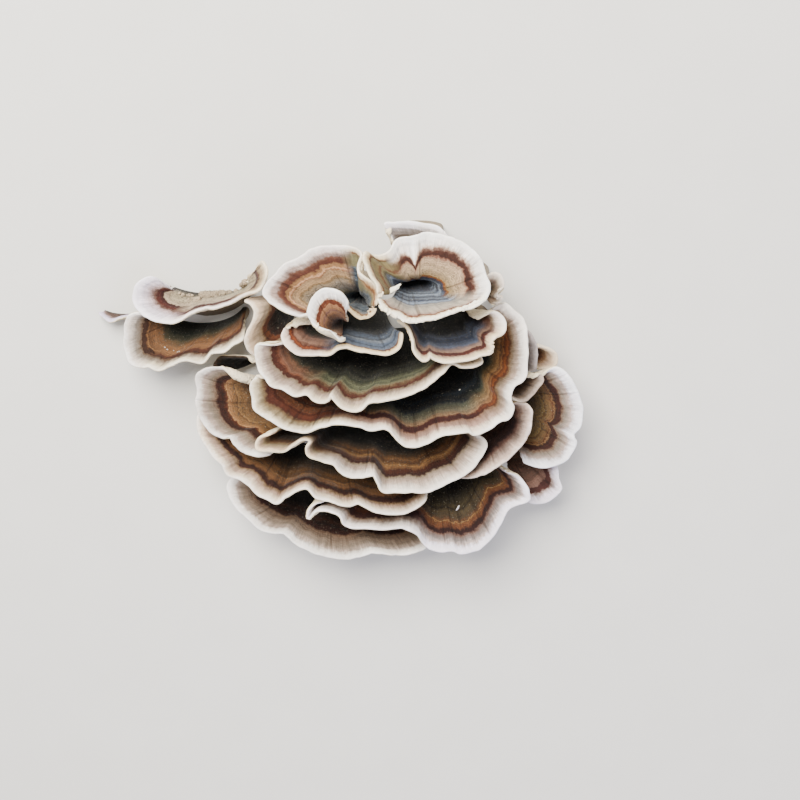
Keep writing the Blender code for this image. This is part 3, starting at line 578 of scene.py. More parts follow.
# Bands of each cap's upper side: (share where it starts, share where it holds, stretch, {distance from the
# margin in the front view: colour}). A cap's first look is its whole look, and each further one takes over
# between two shares of the way along the margin. A steep side is seen foreshortened, so it is stretched.
# The innermost near-black stops are partly the caps' own dark inner zones and partly painted shade from the
# tier above.
BANDS = {
    "top_left_cap": [
        (0, 0, 1.2, {0: "#F0E9DA", 1.5: "#D8C6A0", 2.4: "#A87A50", 3.4: "#CDB88C", 5: "#A39C80",
         6.4: "#8E949A", 7: "#565E6A", 8: "#8A929A", 9: "#5E6A78", 10.4: "#9AA0A4", 11.6: "#4E5A68",
         15: "#5E6A78"}),
        (0.09, 0.12, 1.1, {0: "#F4F0EA", 1.8: "#E8DECE", 2.3: "#9A6A48", 3: "#B8A888", 4.5: "#A9A283",
         7.5: "#A09A7C", 8.3: "#8E98A0", 9: "#5A6470", 10: "#8A949C", 11: "#5E6F80", 12: "#8E98A0",
         14: "#49545F"}),
        (0.22, 0.27, 1.1, {0: "#F3F0EE", 2: "#EFEAE7", 3.6: "#D8CCC6", 4.9: "#C2B0A6", 5.6: "#A07C68",
         6.2: "#8A5843", 7.4: "#7E4C38", 7.9: "#C09A74", 8.9: "#C8A078", 9.3: "#DCC8A8", 9.7: "#A8784C",
         10.1: "#CDB894", 12.5: "#C9B08C", 13: "#B0926E", 13.6: "#BFA98C", 15: "#B5A594", 18: "#AEA69A",
         22: "#9C957C", 26: "#7E8A92"}),
        (0.74, 0.8, 1.5, {0: "#F0E6D2", 1.3: "#E6D8BC", 1.7: "#8A5A38", 2.2: "#C29A6C", 3.2: "#B0A79E",
         4.2: "#9AA0A4", 5: "#5A6470", 6: "#8E98A0", 7: "#5E6F80", 8.4: "#8A949C", 10: "#49525E"}),
    ],
    "top_right_cap": [
        (0, 0, 1.55, {0: "#F8F5EE", 1.2: "#F2EBDD", 1.7: "#C9B090", 2.1: "#8A4A32", 2.5: "#C9B4A4",
         4: "#D2CCC2", 6: "#C9C4BC", 7: "#C0BCB6", 7.6: "#7A8494", 8: "#B9C2CC", 8.6: "#B9C2CC",
         9.2: "#59627A", 10: "#A0AAB8", 11: "#59627A", 12: "#98A2B0", 13: "#B9C2CC", 13.6: "#59627A",
         15: "#98A2B0", 16: "#6C7487"}),
        (0.33, 0.39, 1.1, {0: "#F7F5F3", 4: "#F2EEEA", 5.2: "#DCCFC4", 5.9: "#B09080", 6.3: "#74442E",
         7.6: "#663826", 8: "#BE907C", 8.7: "#D0C0A4", 11: "#D3C6A8", 13.5: "#CDBE9C", 15: "#C4AE86",
         15.5: "#C0874C", 16.1: "#B88048", 16.6: "#6C7487", 17.8: "#626C80", 18.2: "#A8B2BE",
         19.4: "#B9C2CC", 19.8: "#59627A", 21.2: "#525C72", 21.7: "#98A2B0", 22.8: "#B9C2CC",
         23.3: "#59627A", 25: "#98A2B0", 26: "#B9C2CC", 26.6: "#59627A", 28: "#8490A2"}),
        (0.76, 0.81, 1.15, {0: "#F2ECDF", 1.5: "#E8DDC8", 2.6: "#C9B08C", 3.2: "#8A5A3C", 4: "#A89C78",
         7: "#A0906C", 8: "#9A7450", 9: "#A89C78", 11: "#8E8468", 12: "#8A8E94", 14: "#98A2B0",
         15: "#59627A", 18: "#8490A2"}),
    ],
    "top_back_cap": [
        (0, 0, 1.1, {0: "#F6F4F6", 3: "#F0EDEF", 8: "#E6E0E0", 14: "#D8CFCA"}),
    ],
    "curled_cap": [
        (0, 0, 1.1, {0: "#F8F6F3", 3.6: "#F3EFEB", 4.6: "#E2D2C2", 5: "#A5673F", 6: "#9A5C38",
         6.4: "#CFA680", 8: "#C49A74", 8.6: "#B08878", 9.4: "#C49A74", 12: "#A8825E", 16: "#7E6450"}),
    ],
    "right_upper_lobe": [
        (0, 0, 1.05, {0: "#EDE8E2", 3: "#DDD4CA", 5: "#CDBFB0", 7: "#B8A590", 9: "#8E6A4E", 12: "#6A4E3A"}),
    ],
    "upper_left_cap": [
        (0, 0, 1.1, {0: "#EFE8E2", 1.5: "#E6DAD2", 3.4: "#C9B4A4", 4: "#8A4A2E", 5: "#A86A3E",
         5.6: "#7A3E26", 6.6: "#B08E7C", 9.5: "#A08070", 12: "#5A5044", 16: "#2E2A26"}),
        (0.48, 0.58, 1.6, {0: "#F0E8D8", 1.3: "#E8DCC4", 1.8: "#B08A68", 2.2: "#7A4A34", 2.7: "#8E94A0",
         4.2: "#8490A2", 4.8: "#5E6878", 5.6: "#8490A2", 7: "#9CA4B0", 7.6: "#626C7C", 9: "#8A94A4",
         10.5: "#4A525E", 14: "#22242A"}),
    ],
    "upper_right_cap": [
        (0, 0, 1.6, {0: "#F0E9DC", 1.2: "#E6DCC8", 2.5: "#CDB8A4", 3.1: "#7E4434", 4.3: "#6E362A",
         4.8: "#B99A88", 5.8: "#A8928A", 6.6: "#7A8294", 8.2: "#6A7488", 8.8: "#49526A", 10: "#6A7488",
         12.5: "#2E323C", 16: "#18181A"}),
        (0.74, 0.84, 1.1, {0: "#F4F1EE", 3: "#E8E0DA", 5.5: "#BBA794", 7: "#74442E", 9: "#8E6A4E",
         12: "#4A3428"}),
    ],
    "left_shoulder_cap": [
        (0, 0, 1.05, {0: "#EDE6DC", 2: "#DDD0C0", 6: "#BFAE98", 8: "#9E8468", 8.8: "#7A4426",
         10.2: "#8E5A30", 11: "#5A2E1A", 14: "#3A2014", 18: "#221610"}),
    ],
    "second_cap": [
        (0, 0, 1.05, {0: "#F2EFEB", 1.2: "#E8E0D8", 4: "#CFC3B8", 6.5: "#B09C88", 7.2: "#6A3420",
         8.4: "#7A4228", 9: "#9A6A4C", 10.5: "#AC8670", 12: "#98745C", 13.5: "#A88468", 15: "#6E6450",
         17: "#4A4838", 20: "#2E2C26", 24: "#181612"}),
        (0.26, 0.36, 1.65, {0: "#F2ECE2", 1.4: "#E6DCCE", 2.8: "#D0C4B6", 4.2: "#AC9884", 4.8: "#6E3A2A",
         5.4: "#7E4C34", 6: "#9A8468", 6.8: "#A09C82", 7.6: "#868870", 8.6: "#92947C", 9.6: "#5A5C50",
         10.4: "#6E7062", 11.4: "#444640", 12.4: "#5C5E52", 13.4: "#30322C", 16: "#141413"}),
    ],
    "third_cap": [
        (0, 0, 1.2, {0: "#F2EFEA", 1.5: "#E2DACC", 3.5: "#BFB092", 5.2: "#A08A6A", 6: "#6A3018",
         7.6: "#8A5234", 8.6: "#6A3018", 9.2: "#9A6A4A", 11: "#A07450", 12: "#6A3E24", 13.5: "#96694A",
         16: "#5E402C", 20: "#2E2018", 24: "#1A120C"}),
        (0.26, 0.36, 1.65, {0: "#F2EFEB", 1.6: "#EAE0D6", 2.8: "#CDB8A8", 4.6: "#AC8E7C", 5.2: "#5E2A22",
         6.2: "#6A3428", 6.9: "#B4967A", 8.2: "#948C78", 9.4: "#7A7C6A", 10.4: "#3E464C", 12: "#1C2024",
         13.4: "#465462", 15: "#1A1E22", 17: "#36404A", 22: "#0C0D0F"}),
        (0.64, 0.72, 1.08, {0: "#F3F0EC", 2.6: "#E8E4E0", 4.6: "#CDC0B2", 6: "#AC9986", 7.2: "#9A8060",
         7.8: "#7E4C28", 8.8: "#B0743E", 9.3: "#845230", 10.2: "#C49464", 11: "#A47E58", 12: "#C8A478",
         14: "#B49670", 15.5: "#9C8C6C", 17: "#787C64", 18.5: "#404A48", 20: "#1A2024", 22: "#465664",
         24: "#1A2024", 26: "#36424C", 29: "#101214"}),
    ],
    "right_crescent": [
        (0, 0, 1, {0: "#D8D2D0", 2: "#B9B0AC", 6: "#8E827C"}),
    ],
    "small_right_lobe": [
        (0, 0, 1.05, {0: "#D8CEC6", 2: "#B5A598", 5: "#94806E", 8: "#5A4236"}),
    ],
    "far_right_knob": [
        (0, 0, 1, {0: "#ECE5DA", 3: "#DDD1C2", 5: "#CBBBA6", 6.5: "#A88C70", 8: "#84583A"}),
    ],
    "far_right_cap": [
        (0, 0, 1.02, {0: "#F8F7FA", 3: "#F0EEF0", 5: "#D2C8C0", 6.5: "#B9AB9E", 8.2: "#A08A78",
         8.9: "#6A3A2C", 10.6: "#5B3426", 11.5: "#BE9872", 11.9: "#8E6040", 12.5: "#A0825E",
         14.6: "#A88E66", 15.2: "#806040", 15.8: "#A08A60", 19: "#94805A", 24: "#6A5A42"}),
    ],
    "right_middle_cap": [
        (0, 0, 1.1, {0: "#ECE5E0", 2: "#D8CCC4", 4: "#BCA89C", 6: "#8A6A5E", 7.4: "#4E2820", 9.5: "#5A342A",
         13: "#7A5648", 18: "#3A241E"}),
    ],
    "left_cap": [
        (0, 0, 1.05, {0: "#F0ECEA", 1.5: "#E6E2DE", 3.5: "#CFC3B9", 6: "#B0A090", 8: "#9A8470",
         8.8: "#5E2C14", 10: "#54280F", 11.2: "#84502E", 11.8: "#C49C72", 12.6: "#B08A60", 14.5: "#A8865A",
         15: "#80603C", 15.6: "#B08E62", 19: "#9A7C56", 25: "#5A4A34"}),
    ],
    # This cap lies in the shadow of the caps above it: its bands are painted shade, dark brown to near black.
    "shaded_cap": [
        (0, 0, 1, {0: "#8A7868", 1.2: "#5E4E40", 3: "#2E2218", 12: "#181008"}),
    ],
    "fourth_cap": [
        (0, 0, 1.3, {0: "#ECE2D2", 1.5: "#D3C6B0", 4: "#BCAA8C", 6: "#8A6A4A", 8: "#5E4430",
         14: "#2E2218"}),
        (0.3, 0.38, 1.65, {0: "#F3F0EC", 1.8: "#EAE4DE", 3.6: "#D2C7BC", 5.2: "#AE9C8A", 5.9: "#5A2A18",
         7: "#6A3820", 7.6: "#94704A", 8.6: "#A8865A", 9.1: "#7E5A38", 10: "#94744C", 11.4: "#6A5640",
         13: "#33302C", 16: "#0C0D0F"}),
    ],
    "fifth_cap": [
        (0, 0, 1.05, {0: "#F2EEEA", 1.8: "#E6DCD0", 4: "#CFC0AE", 6.2: "#A89076", 7: "#5A2A14",
         8.6: "#4A2010", 9.4: "#94704A", 11: "#A8845A", 11.6: "#7A5A38", 12.2: "#A07E54", 16: "#8A6A44",
         20: "#5E4830", 24: "#2E2218"}),
        (0.3, 0.42, 1.65, {0: "#F2EEEA", 1.6: "#E6DCD0", 3: "#CDBBA6", 4: "#A89076", 4.6: "#5A2A14",
         5.8: "#4A2010", 6.4: "#94704A", 8: "#A8845A", 8.6: "#7A5A38", 9.2: "#94744A", 12: "#6E5636",
         16: "#33281C"}),
    ],
    "sixth_cap": [
        (0, 0, 1.65, {0: "#F2EFF0", 1.6: "#E6E0DC", 3: "#C9BCB0", 4.2: "#A08C7A", 4.8: "#4E2016",
         6: "#6A3A24", 7: "#8A5A34", 9: "#5E4228", 13: "#261C12"}),
        (0.4, 0.5, 1.15, {0: "#F5F2F6", 2.4: "#EFEBF0", 3.8: "#D8CFCC", 5: "#B8ACA8", 6.8: "#9A8074",
         7.6: "#5A2A20", 8.8: "#4E2016", 9.6: "#9A6A44", 10.6: "#A47A50", 11: "#B89468", 11.4: "#8A6440",
         12.6: "#7E6C50", 15: "#7E6E50", 15.6: "#5E4E38", 16.4: "#786A4C", 20: "#5E5640", 24: "#3A3226"}),
    ],
    "lower_right_lobe": [
        (0, 0, 1.02, {0: "#F4F1F5", 3: "#E8E3E8", 5: "#C9BBB4", 5.8: "#7A4A40", 7.6: "#6A3C34",
         8.4: "#AE8E80", 13: "#8E7262"}),
    ],
    "bottom_cap": [
        (0, 0, 1.35, {0: "#F1EFEE", 1.8: "#E8E4E0", 3: "#CDC2B8", 5: "#AA9A8C", 8: "#947E68",
         8.8: "#5A2410", 10.5: "#3A1406", 12: "#5E3820", 15: "#2A1A0E"}),
    ],
    "outer_left_upper_cap": [
        (0, 0, 1.05, {0: "#F4F2F6", 4: "#EAE5EA", 7: "#D2C7C6", 8.4: "#A08478", 9: "#7A4030", 11: "#6E3A34",
         11.6: "#5E3634", 12.2: "#CFC4B0", 16: "#CFC8B0", 22: "#C4BCA4"}),
        (0.3, 0.38, 1.6, {0: "#F2EEEC", 2: "#E4DAD4", 3.6: "#BCA698", 4.2: "#7A4030", 5.6: "#6E3A34",
         6.2: "#CFC4B0", 12: "#CFC8B0"}),
        (0.58, 0.66, 1.3, {0: "#F2ECE2", 1.5: "#E9DFCC", 4: "#D8CAAC", 6: "#CDBE9C", 7.4: "#7E4834",
         8.8: "#6A3A2C", 9.4: "#CFC4A8", 14: "#CFC8B0"}),
    ],
    "outer_left_lower_cap": [
        (0, 0, 1.05, {0: "#F2F0EE", 2: "#E4DED8", 5: "#BDB2A4", 6.6: "#94806A", 7.2: "#5A341C",
         8.8: "#6A4226", 9.2: "#A8845A", 9.7: "#7A5632", 11: "#A07C54", 15: "#9A7850", 17: "#6E6448",
         20: "#3E4436"}),
        (0.36, 0.46, 1.65, {0: "#F2EEE6", 1.4: "#E4DCCE", 2.8: "#C2B4A2", 3.8: "#8E7660", 4.3: "#5E3620",
         5.2: "#7A4A30", 5.8: "#A8825C", 8: "#A07C54", 10: "#6E6448", 12: "#3E4436", 16: "#1E211A"}),
    ],
    "outer_left_tip": [
        (0, 0, 1, {0: "#E2DEE8", 1.6: "#D8D2DC", 3: "#B9A09A", 5: "#7E6054"}),
    ],
}


def seen(line):
    """Places of points given as (across, up, height): where their sight lines reach that height."""
    across, up, height = line.T
    sine = math.sin(VIEW_TILT)
    cosine = math.cos(VIEW_TILT)
    eye = np.array([0, VIEW_DISTANCE * sine, VIEW_HEIGHT + VIEW_DISTANCE * cosine])
    picture = np.column_stack((across, up * cosine, VIEW_HEIGHT - up * sine))
    share = (eye[2] - height) / (eye[2] - picture[:, 2])
    return eye + (picture - eye) * share[:, None]


def run_along(line):
    """Distance along a line from its first point to each of its points."""
    return np.concatenate(([0], np.cumsum(np.linalg.norm(np.diff(line, axis=0), axis=1))))


def smooth_line(points):
    """A smooth line through the points, closely divided."""
    at = run_along(points)
    spans = np.diff(at)[:, None]
    slopes = np.diff(points, axis=0) / spans
    inner = (slopes[1:] * spans[:-1] + slopes[:-1] * spans[1:]) / (spans[1:] + spans[:-1])
    tangents = np.vstack((slopes[:1], inner, slopes[-1:]))
    pieces = []
    for start in range(len(points) - 1):
        t = np.linspace(0, 1, LINE_STEPS, endpoint=False)[:, None]
        span = spans[start]
        pieces.append(
            (2 * t**3 - 3 * t**2 + 1) * points[start]
            + (t**3 - 2 * t**2 + t) * span * tangents[start]
            + (3 * t**2 - 2 * t**3) * points[start + 1]
            + (t**3 - t**2) * span * tangents[start + 1]
        )
    pieces.append(points[-1:])
    return np.vstack(pieces)


def at_shares(line, shares):
    """Points of the line at these shares of its length."""
    at = run_along(line) / run_along(line)[-1]
    return np.column_stack([np.interp(shares, at, line[:, axis]) for axis in range(line.shape[1])])


def spread(values, shares):
    """A short list of values, spread evenly over the line and read at these shares of it."""
    return np.interp(shares, np.linspace(0, 1, len(values)), values)


def without_waves(line, step):
    """The line, divided evenly by the step, with waves shorter than WAVE_LENGTH smoothed out."""
    reach = max(1, round(WAVE_LENGTH / 2 / step))
    padded = np.vstack((2 * line[0] - line[reach:0:-1], line, 2 * line[-1] - line[-2 : -reach - 2 : -1]))
    weights = np.hanning(2 * reach + 3)[1:-1]
    weights /= weights.sum()
    return np.column_stack([np.convolve(padded[:, axis], weights, "valid") for axis in range(3)])


def margin_line(cap):
    """The cap's margin in space, closely divided."""
    flat = np.array([point[:2] for point in cap.margin], float)
    at = run_along(flat)
    known = [index for index, point in enumerate(cap.margin) if len(point) == 3]
    heights = np.interp(at, at[known], [cap.margin[index][2] for index in known])
    return seen(smooth_line(np.column_stack((flat, heights))))


def wander(at, period, seed):
    """A smooth random line between -1 and 1, with a new value at each period."""
    chance = np.random.default_rng(seed)
    values = chance.uniform(-1, 1, int(np.max(at) / period) + 3)
    place = np.asarray(at) / period
    first = np.floor(place).astype(int)
    part = place - first
    part = part * part * (3 - 2 * part)
    return values[first] * (1 - part) + values[first + 1] * part


def upper_surface(cap, shares, outs, seed):
    """Points of the cap's upper surface, from the root line (out = 0) to the margin (out = 1)."""
    line = margin_line(cap)
    length = run_along(line)[-1]
    even = np.linspace(0, 1, round(length / COLUMN_STEP))
    margin = at_shares(line, even)
    calm = without_waves(margin, COLUMN_STEP)
    x, y, radius_x, radius_y, start, end = cap.root
    turn = np.radians(start + (end - start) * even)
    root = np.column_stack(
        (x + radius_x * np.cos(turn), y + radius_y * np.sin(turn), np.full(len(even), -ROOT_DEPTH))
    )
    rise = root + np.array(cap.lean)
    outward = without_waves((calm - rise) * (1, 1, 0), COLUMN_STEP)
    outward /= np.linalg.norm(outward, axis=1)[:, None]
    reach = np.linalg.norm(calm - rise, axis=1)[:, None]
    flare = np.radians(spread(cap.flare, even))[:, None]
    slope = outward * np.cos(flare) + np.array([0, 0, 1]) * np.sin(flare)
    at = even * length
    ends = np.minimum(1, np.minimum(at, length - at) / FRET_FADE)
    fret = ends * sum(size * wander(at, period, seed + round(period * 10)) for period, size in FRETS)
    margin = margin + slope * (fret[:, None] - FRET_INSET)
    shoulder = calm - slope * reach * STRAIGHT_SHARE
    root, rise, shoulder, calm, wave = [
        np.column_stack([np.interp(shares, even, values[:, axis]) for axis in range(3)])[:, None]
        for values in (root, rise, shoulder, calm, margin - calm)
    ]
    out = outs[None, :, None]
    back = 1 - out
    growth = np.maximum(0, (out - WAVES_START) / (1 - WAVES_START)) ** WAVES_GROWTH
    curve = root * back**3 + 3 * rise * out * back**2 + 3 * shoulder * out**2 * back + calm * out**3
    return curve + wave * growth, shares * length


def upward(surface):
    """Unit normals on the upper side of a sheet of points."""
    along = np.gradient(surface, axis=0)
    out = np.gradient(surface, axis=1)
    normals = np.cross(out, along)
    return normals / np.linalg.norm(normals, axis=2)[:, :, None]


def rounding(distance, over):
    """How far a face has drawn in towards the middle of the sheet, this near to the sheet's edge."""
    back = 1 - np.clip(distance / over, 0, 1)
    return 1 - np.sqrt(1 - back**2)


def relief(at, from_margin, outs, seed):
    """Height of the ridges that follow the margin and of the low pleats that run down to it."""
    swing = sum(
        share * wander(at, period, seed + number)[:, None] for number, (period, share) in enumerate(SWINGS, 1)
    )
    ridges = sum(
        height * np.sin((from_margin + swing) * (2 * math.pi / step))
        for step, height in ((RING_STEP, RING_HEIGHT), (SWELL_STEP, SWELL_HEIGHT))
    )
    pleats = sum(
        height * wander(at, period, seed + number)[:, None] * np.exp(-from_margin / reach)
        for number, (period, reach, height) in enumerate((PLEATS, FOLDS), 3)
    )
    rooted = np.clip((outs[None, :] - RELIEF_START) / (RELIEF_FULL - RELIEF_START), 0, 1)
    return (ridges * np.clip(from_margin / RIDGE_FADE, 0, 1) + pleats) * rooted


def creased(cap, at, from_margin, outs):
    """Depth of the creases that run in from the margin, and how far they hold the bands back."""
    depth = np.zeros(from_margin.shape)
    held = np.zeros(from_margin.shape)
    rooted = np.clip((outs[None, :] - CREASE_START) / (CREASE_FULL - CREASE_START), 0, 1)
    for share, deep, wide, hold in CREASES.get(cap.name, ()):
        beside = np.abs(at - share * at[-1])[:, None] / wide
        depth += deep * np.exp(-(beside**1.5)) * rooted
        held += hold * np.exp(-beside) * np.clip(from_margin / CREASE_HOLD, 0, 1)
    return depth, held


def sheet_points(cap, seed):
    """Points of the closed sheet, from the root over the margin and back beneath, and what they know."""
    length = run_along(margin_line(cap))[-1]
    inner = np.linspace(END_REACH, length - END_REACH, round((length - 2 * END_REACH) / COLUMN_STEP))
    ends = np.array(END_COLUMNS)
    shares = np.concatenate((ends, inner, length - ends[::-1])) / length
    outs = 1 - np.linspace(1, 0, ROWS + 1) ** ROW_POWER
    surface, at = upper_surface(cap, shares, outs, seed)
    down = np.linalg.norm(np.diff(surface, axis=1), axis=2)
    from_margin = np.zeros(surface.shape[:2])
    from_margin[:, :-1] = np.cumsum(down[:, ::-1], axis=1)[:, ::-1]
    across = np.linalg.norm(np.diff(surface, axis=0), axis=2)
    from_start = np.zeros(surface.shape[:2])
    from_start[1:] = np.cumsum(across, axis=0)
    from_end = from_start[-1] - from_start
    depth, held = creased(cap, at, from_margin, outs)
    raised = relief(at, from_margin, outs, seed) - depth
    surface = surface + upward(surface) * raised[:, :, None]
    normals = upward(surface)

    extra = (spread(cap.foot, shares) - RIM_THICKNESS)[:, None] * (1 - outs)[None, :] ** THINNING
    edge = 1 - (1 - EDGE_SHARE) * np.exp(-from_margin / EDGE_REACH)
    thickness = RIM_THICKNESS * edge + extra
    side = rounding(np.minimum(from_start, from_end), np.minimum(END_ROUND, from_start[-1] * END_ROUND_PART))
    drawn = 1 - (1 - rounding(from_margin, MARGIN_ROUND)) * (1 - side)
    upper = surface - normals * (thickness / 2 * drawn)[:, :, None]
    lower = surface - normals * (thickness - thickness / 2 * drawn)[:, :, None]
    points = np.concatenate((upper, lower[:, -2::-1]), axis=1) * MM

    around = points.shape[1]
    margins = np.concatenate((from_margin - held, from_margin[:, -2::-1]), axis=1)
    unders = np.concatenate((drawn / 2, 1 - drawn[:, -2::-1] / 2), axis=1)
    depths = np.tile(np.concatenate((outs, outs[-2::-1])), (len(shares), 1))
    known = (margins, np.tile(at[:, None], around), np.tile(shares[:, None], around), unders, depths)
    return points, np.stack(known, axis=2)


def close_sheet(bm, layers, points, known):
    """Wraps a grid round the points, joins its seams and cuts it off flat at Z = 0."""
    columns = points.shape[0] - 1
    rows = points.shape[1] - 1
    bmesh.ops.create_grid(bm, x_segments=columns, y_segments=rows, size=0.5)
    for vert in bm.verts:
        spot = (round((vert.co.x + 0.5) * columns), round((vert.co.y + 0.5) * rows))
        vert.co = points[spot]
        for layer, value in zip(layers, known[spot]):
            vert[layer] = value
    bmesh.ops.remove_doubles(bm, verts=bm.verts[:], dist=SEAM_DISTANCE)
    bmesh.ops.recalc_face_normals(bm, faces=bm.faces[:])
    everything = bm.verts[:] + bm.edges[:] + bm.faces[:]
    cut = {"plane_co": (0, 0, 0), "plane_no": (0, 0, 1), "clear_inner": True}
    bmesh.ops.bisect_plane(bm, geom=everything, dist=CUT_DISTANCE, **cut)
    open_edges = [edge for edge in bm.edges if edge.is_boundary]
    for face in bmesh.ops.holes_fill(bm, edges=open_edges, sides=0)["faces"]:
        face.material_index = 1
    bmesh.ops.triangulate(bm, faces=[face for face in bm.faces if len(face.verts) > 4])


def grow(bm, layers, sheet, spot, sizes, turn, hue, seed):
    """Sets a small rough lump on the sheet, where the sight line through this spot meets it or passes it."""
    eye, aimed = seen(np.array([(0, 0, VIEW_HEIGHT), (*spot, VIEW_HEIGHT)], float)) * MM
    eye = np.array([0, math.sin(VIEW_TILT), math.cos(VIEW_TILT)]) * VIEW_DISTANCE * MM + eye
    place = sheet.ray_cast(Vector(eye), Vector(aimed - eye))[0]
    if place is None:
        parts = np.linspace(*SIGHT_PARTS)
        near = [sheet.find_nearest(Vector(eye + (aimed - eye) * part)) for part in parts]
        place = min(near, key=lambda found: found[3])[0]
    place.z = max(place.z, LUMP_CLEAR * max(sizes) * MM)
    tilted = Matrix.Rotation(-VIEW_TILT, 3, "X") @ Matrix.Rotation(math.radians(turn), 3, "Z")
    for vert in bmesh.ops.create_icosphere(bm, subdivisions=3, radius=1)["verts"]:
        rough = 1 + LUMP_ROUGHNESS * noise.noise(vert.co * LUMP_GRAIN + Vector((seed, 0, 0)))
        lump = Vector([co * size * rough * MM for co, size in zip(vert.co, sizes)])
        vert.co = place + tilted @ lump
        for layer, value in zip(layers, (hue, lump.x / MM, 0, 0, 1)):
            vert[layer] = value


def make_cap(cap, seed):
    """The cap's closed sheet with its small growths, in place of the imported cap."""
    bm = bmesh.new()
    layers = [bm.verts.layers.float.new(name) for name in ATTRIBUTES]
    close_sheet(bm, layers, *sheet_points(cap, seed))
    bmesh.ops.recalc_face_normals(bm, faces=bm.faces[:])
    sheet = bvhtree.BVHTree.FromBMesh(bm)
    for across, up, sizes, turn, hue in GROWTHS.get(cap.name, ()):
        grow(bm, layers, sheet, (across, up), sizes, turn, hue, seed)
    for first, last, stray, number, size, hue in CRUMBS.get(cap.name, ()):
        chance = np.random.default_rng(seed + number)
        for share in chance.uniform(0, 1, number):
            spot = np.array(first) * (1 - share) + np.array(last) * share + chance.normal(0, stray / 2, 2)
            sizes = size * chance.uniform(0.5, 1, 3)
            grow(bm, layers, sheet, spot, sizes, chance.uniform(0, 180), hue, 100 * share)
    bmesh.ops.recalc_face_normals(bm, faces=bm.faces[:])

    mesh = bpy.data.meshes.new(cap.name + "_sheet")
    bm.to_mesh(mesh)
    bm.free()
    mesh.shade_smooth()
    mesh.set_sharp_from_angle(angle=math.radians(60))
    mesh.materials.append(velvet(cap.name, BANDS[cap.name], seed))
    mesh.materials.append(FLESH)
    piece = put(cap.name + "_sheet", mesh)
    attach(piece, "root")
    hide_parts(cap.name)


def linear(hex_colour):
    """A linear colour with alpha from an sRGB hex value."""
    channels = [int(hex_colour[start : start + 2], 16) / 255 for start in (1, 3, 5)]
    return [c / 12.92 if c <= 0.04045 else ((c + 0.055) / 1.055) ** 2.4 for c in channels] + [1]


def painted(hue):
    """The linear colour of paint that looks like this sRGB hex value in the studio."""
    levels = np.interp([int(hue[start : start + 2], 16) for start in (1, 3, 5)], SEEN_LEVELS, PAINT_LEVELS)
    levels = levels.mean() + (levels - levels.mean()) * PAINT_SATURATION
    return linear("#%02X%02X%02X" % tuple(round(level) for level in np.clip(levels, 0, 255)))


def add(tree, kind, inputs=(), output=0, **settings):
    """Adds a node and gives one of its outputs: inputs are values or links, in order or by socket."""
    node = tree.nodes.new("ShaderNode" + kind)
    for name, value in settings.items():
        setattr(node, name, value)
    for socket, value in inputs.items() if isinstance(inputs, dict) else enumerate(inputs):
        if isinstance(value, bpy.types.NodeSocket):
            tree.links.new(value, node.inputs[socket])
        else:
            node.inputs[socket].default_value = value
    return node.outputs[output]


def new_material(name):
    """An empty material, its node tree and its shader."""
    material = bpy.data.materials.new(name)
    material.use_nodes = True
    return material, material.node_tree, material.node_tree.nodes["Principled BSDF"]


def banding(tree, values, looks):
    """The colour of the bands at each distance from the margin, from the looks along the margin."""
    colour = None
    for first, last, stretch, bands in looks:
        hues = add(tree, "ValToRGB", [values["reach"]])
        stops = hues.node.color_ramp.elements
        while len(stops) < len(bands):
            stops.new(1)
        for stop, (distance, hue) in zip(stops, bands.items()):
            nearer = next((share for limit, share in NARROWING if distance < limit), 1)
            stop.position = round(distance * stretch * nearer, 1) / BAND_REACH
            stop.color = painted(hue)
        if colour is None:
            colour = hues
        else:
            reached = add(tree, "MapRange", [values["share"], first, last, 0, 1])
            colour = add(tree, "Mix", {0: reached, 6: colour, 7: hues}, output=2, data_type="RGBA")
    return colour


def layered(tree, values, colour, layers):
    """The colour with thin layers over it: each a product of values, its strength, its tone and its blend."""
    for names, strength, tone, blend in layers:
        factor = strength
        for name in names:
            factor = add(tree, "Math", [values[name], factor], operation="MULTIPLY")
        over = {0: factor, 6: colour, 7: linear(tone) if tone.startswith("#") else values[tone]}
        colour = add(tree, "Mix", over, output=2, data_type="RGBA", blend_type=blend)
    return colour


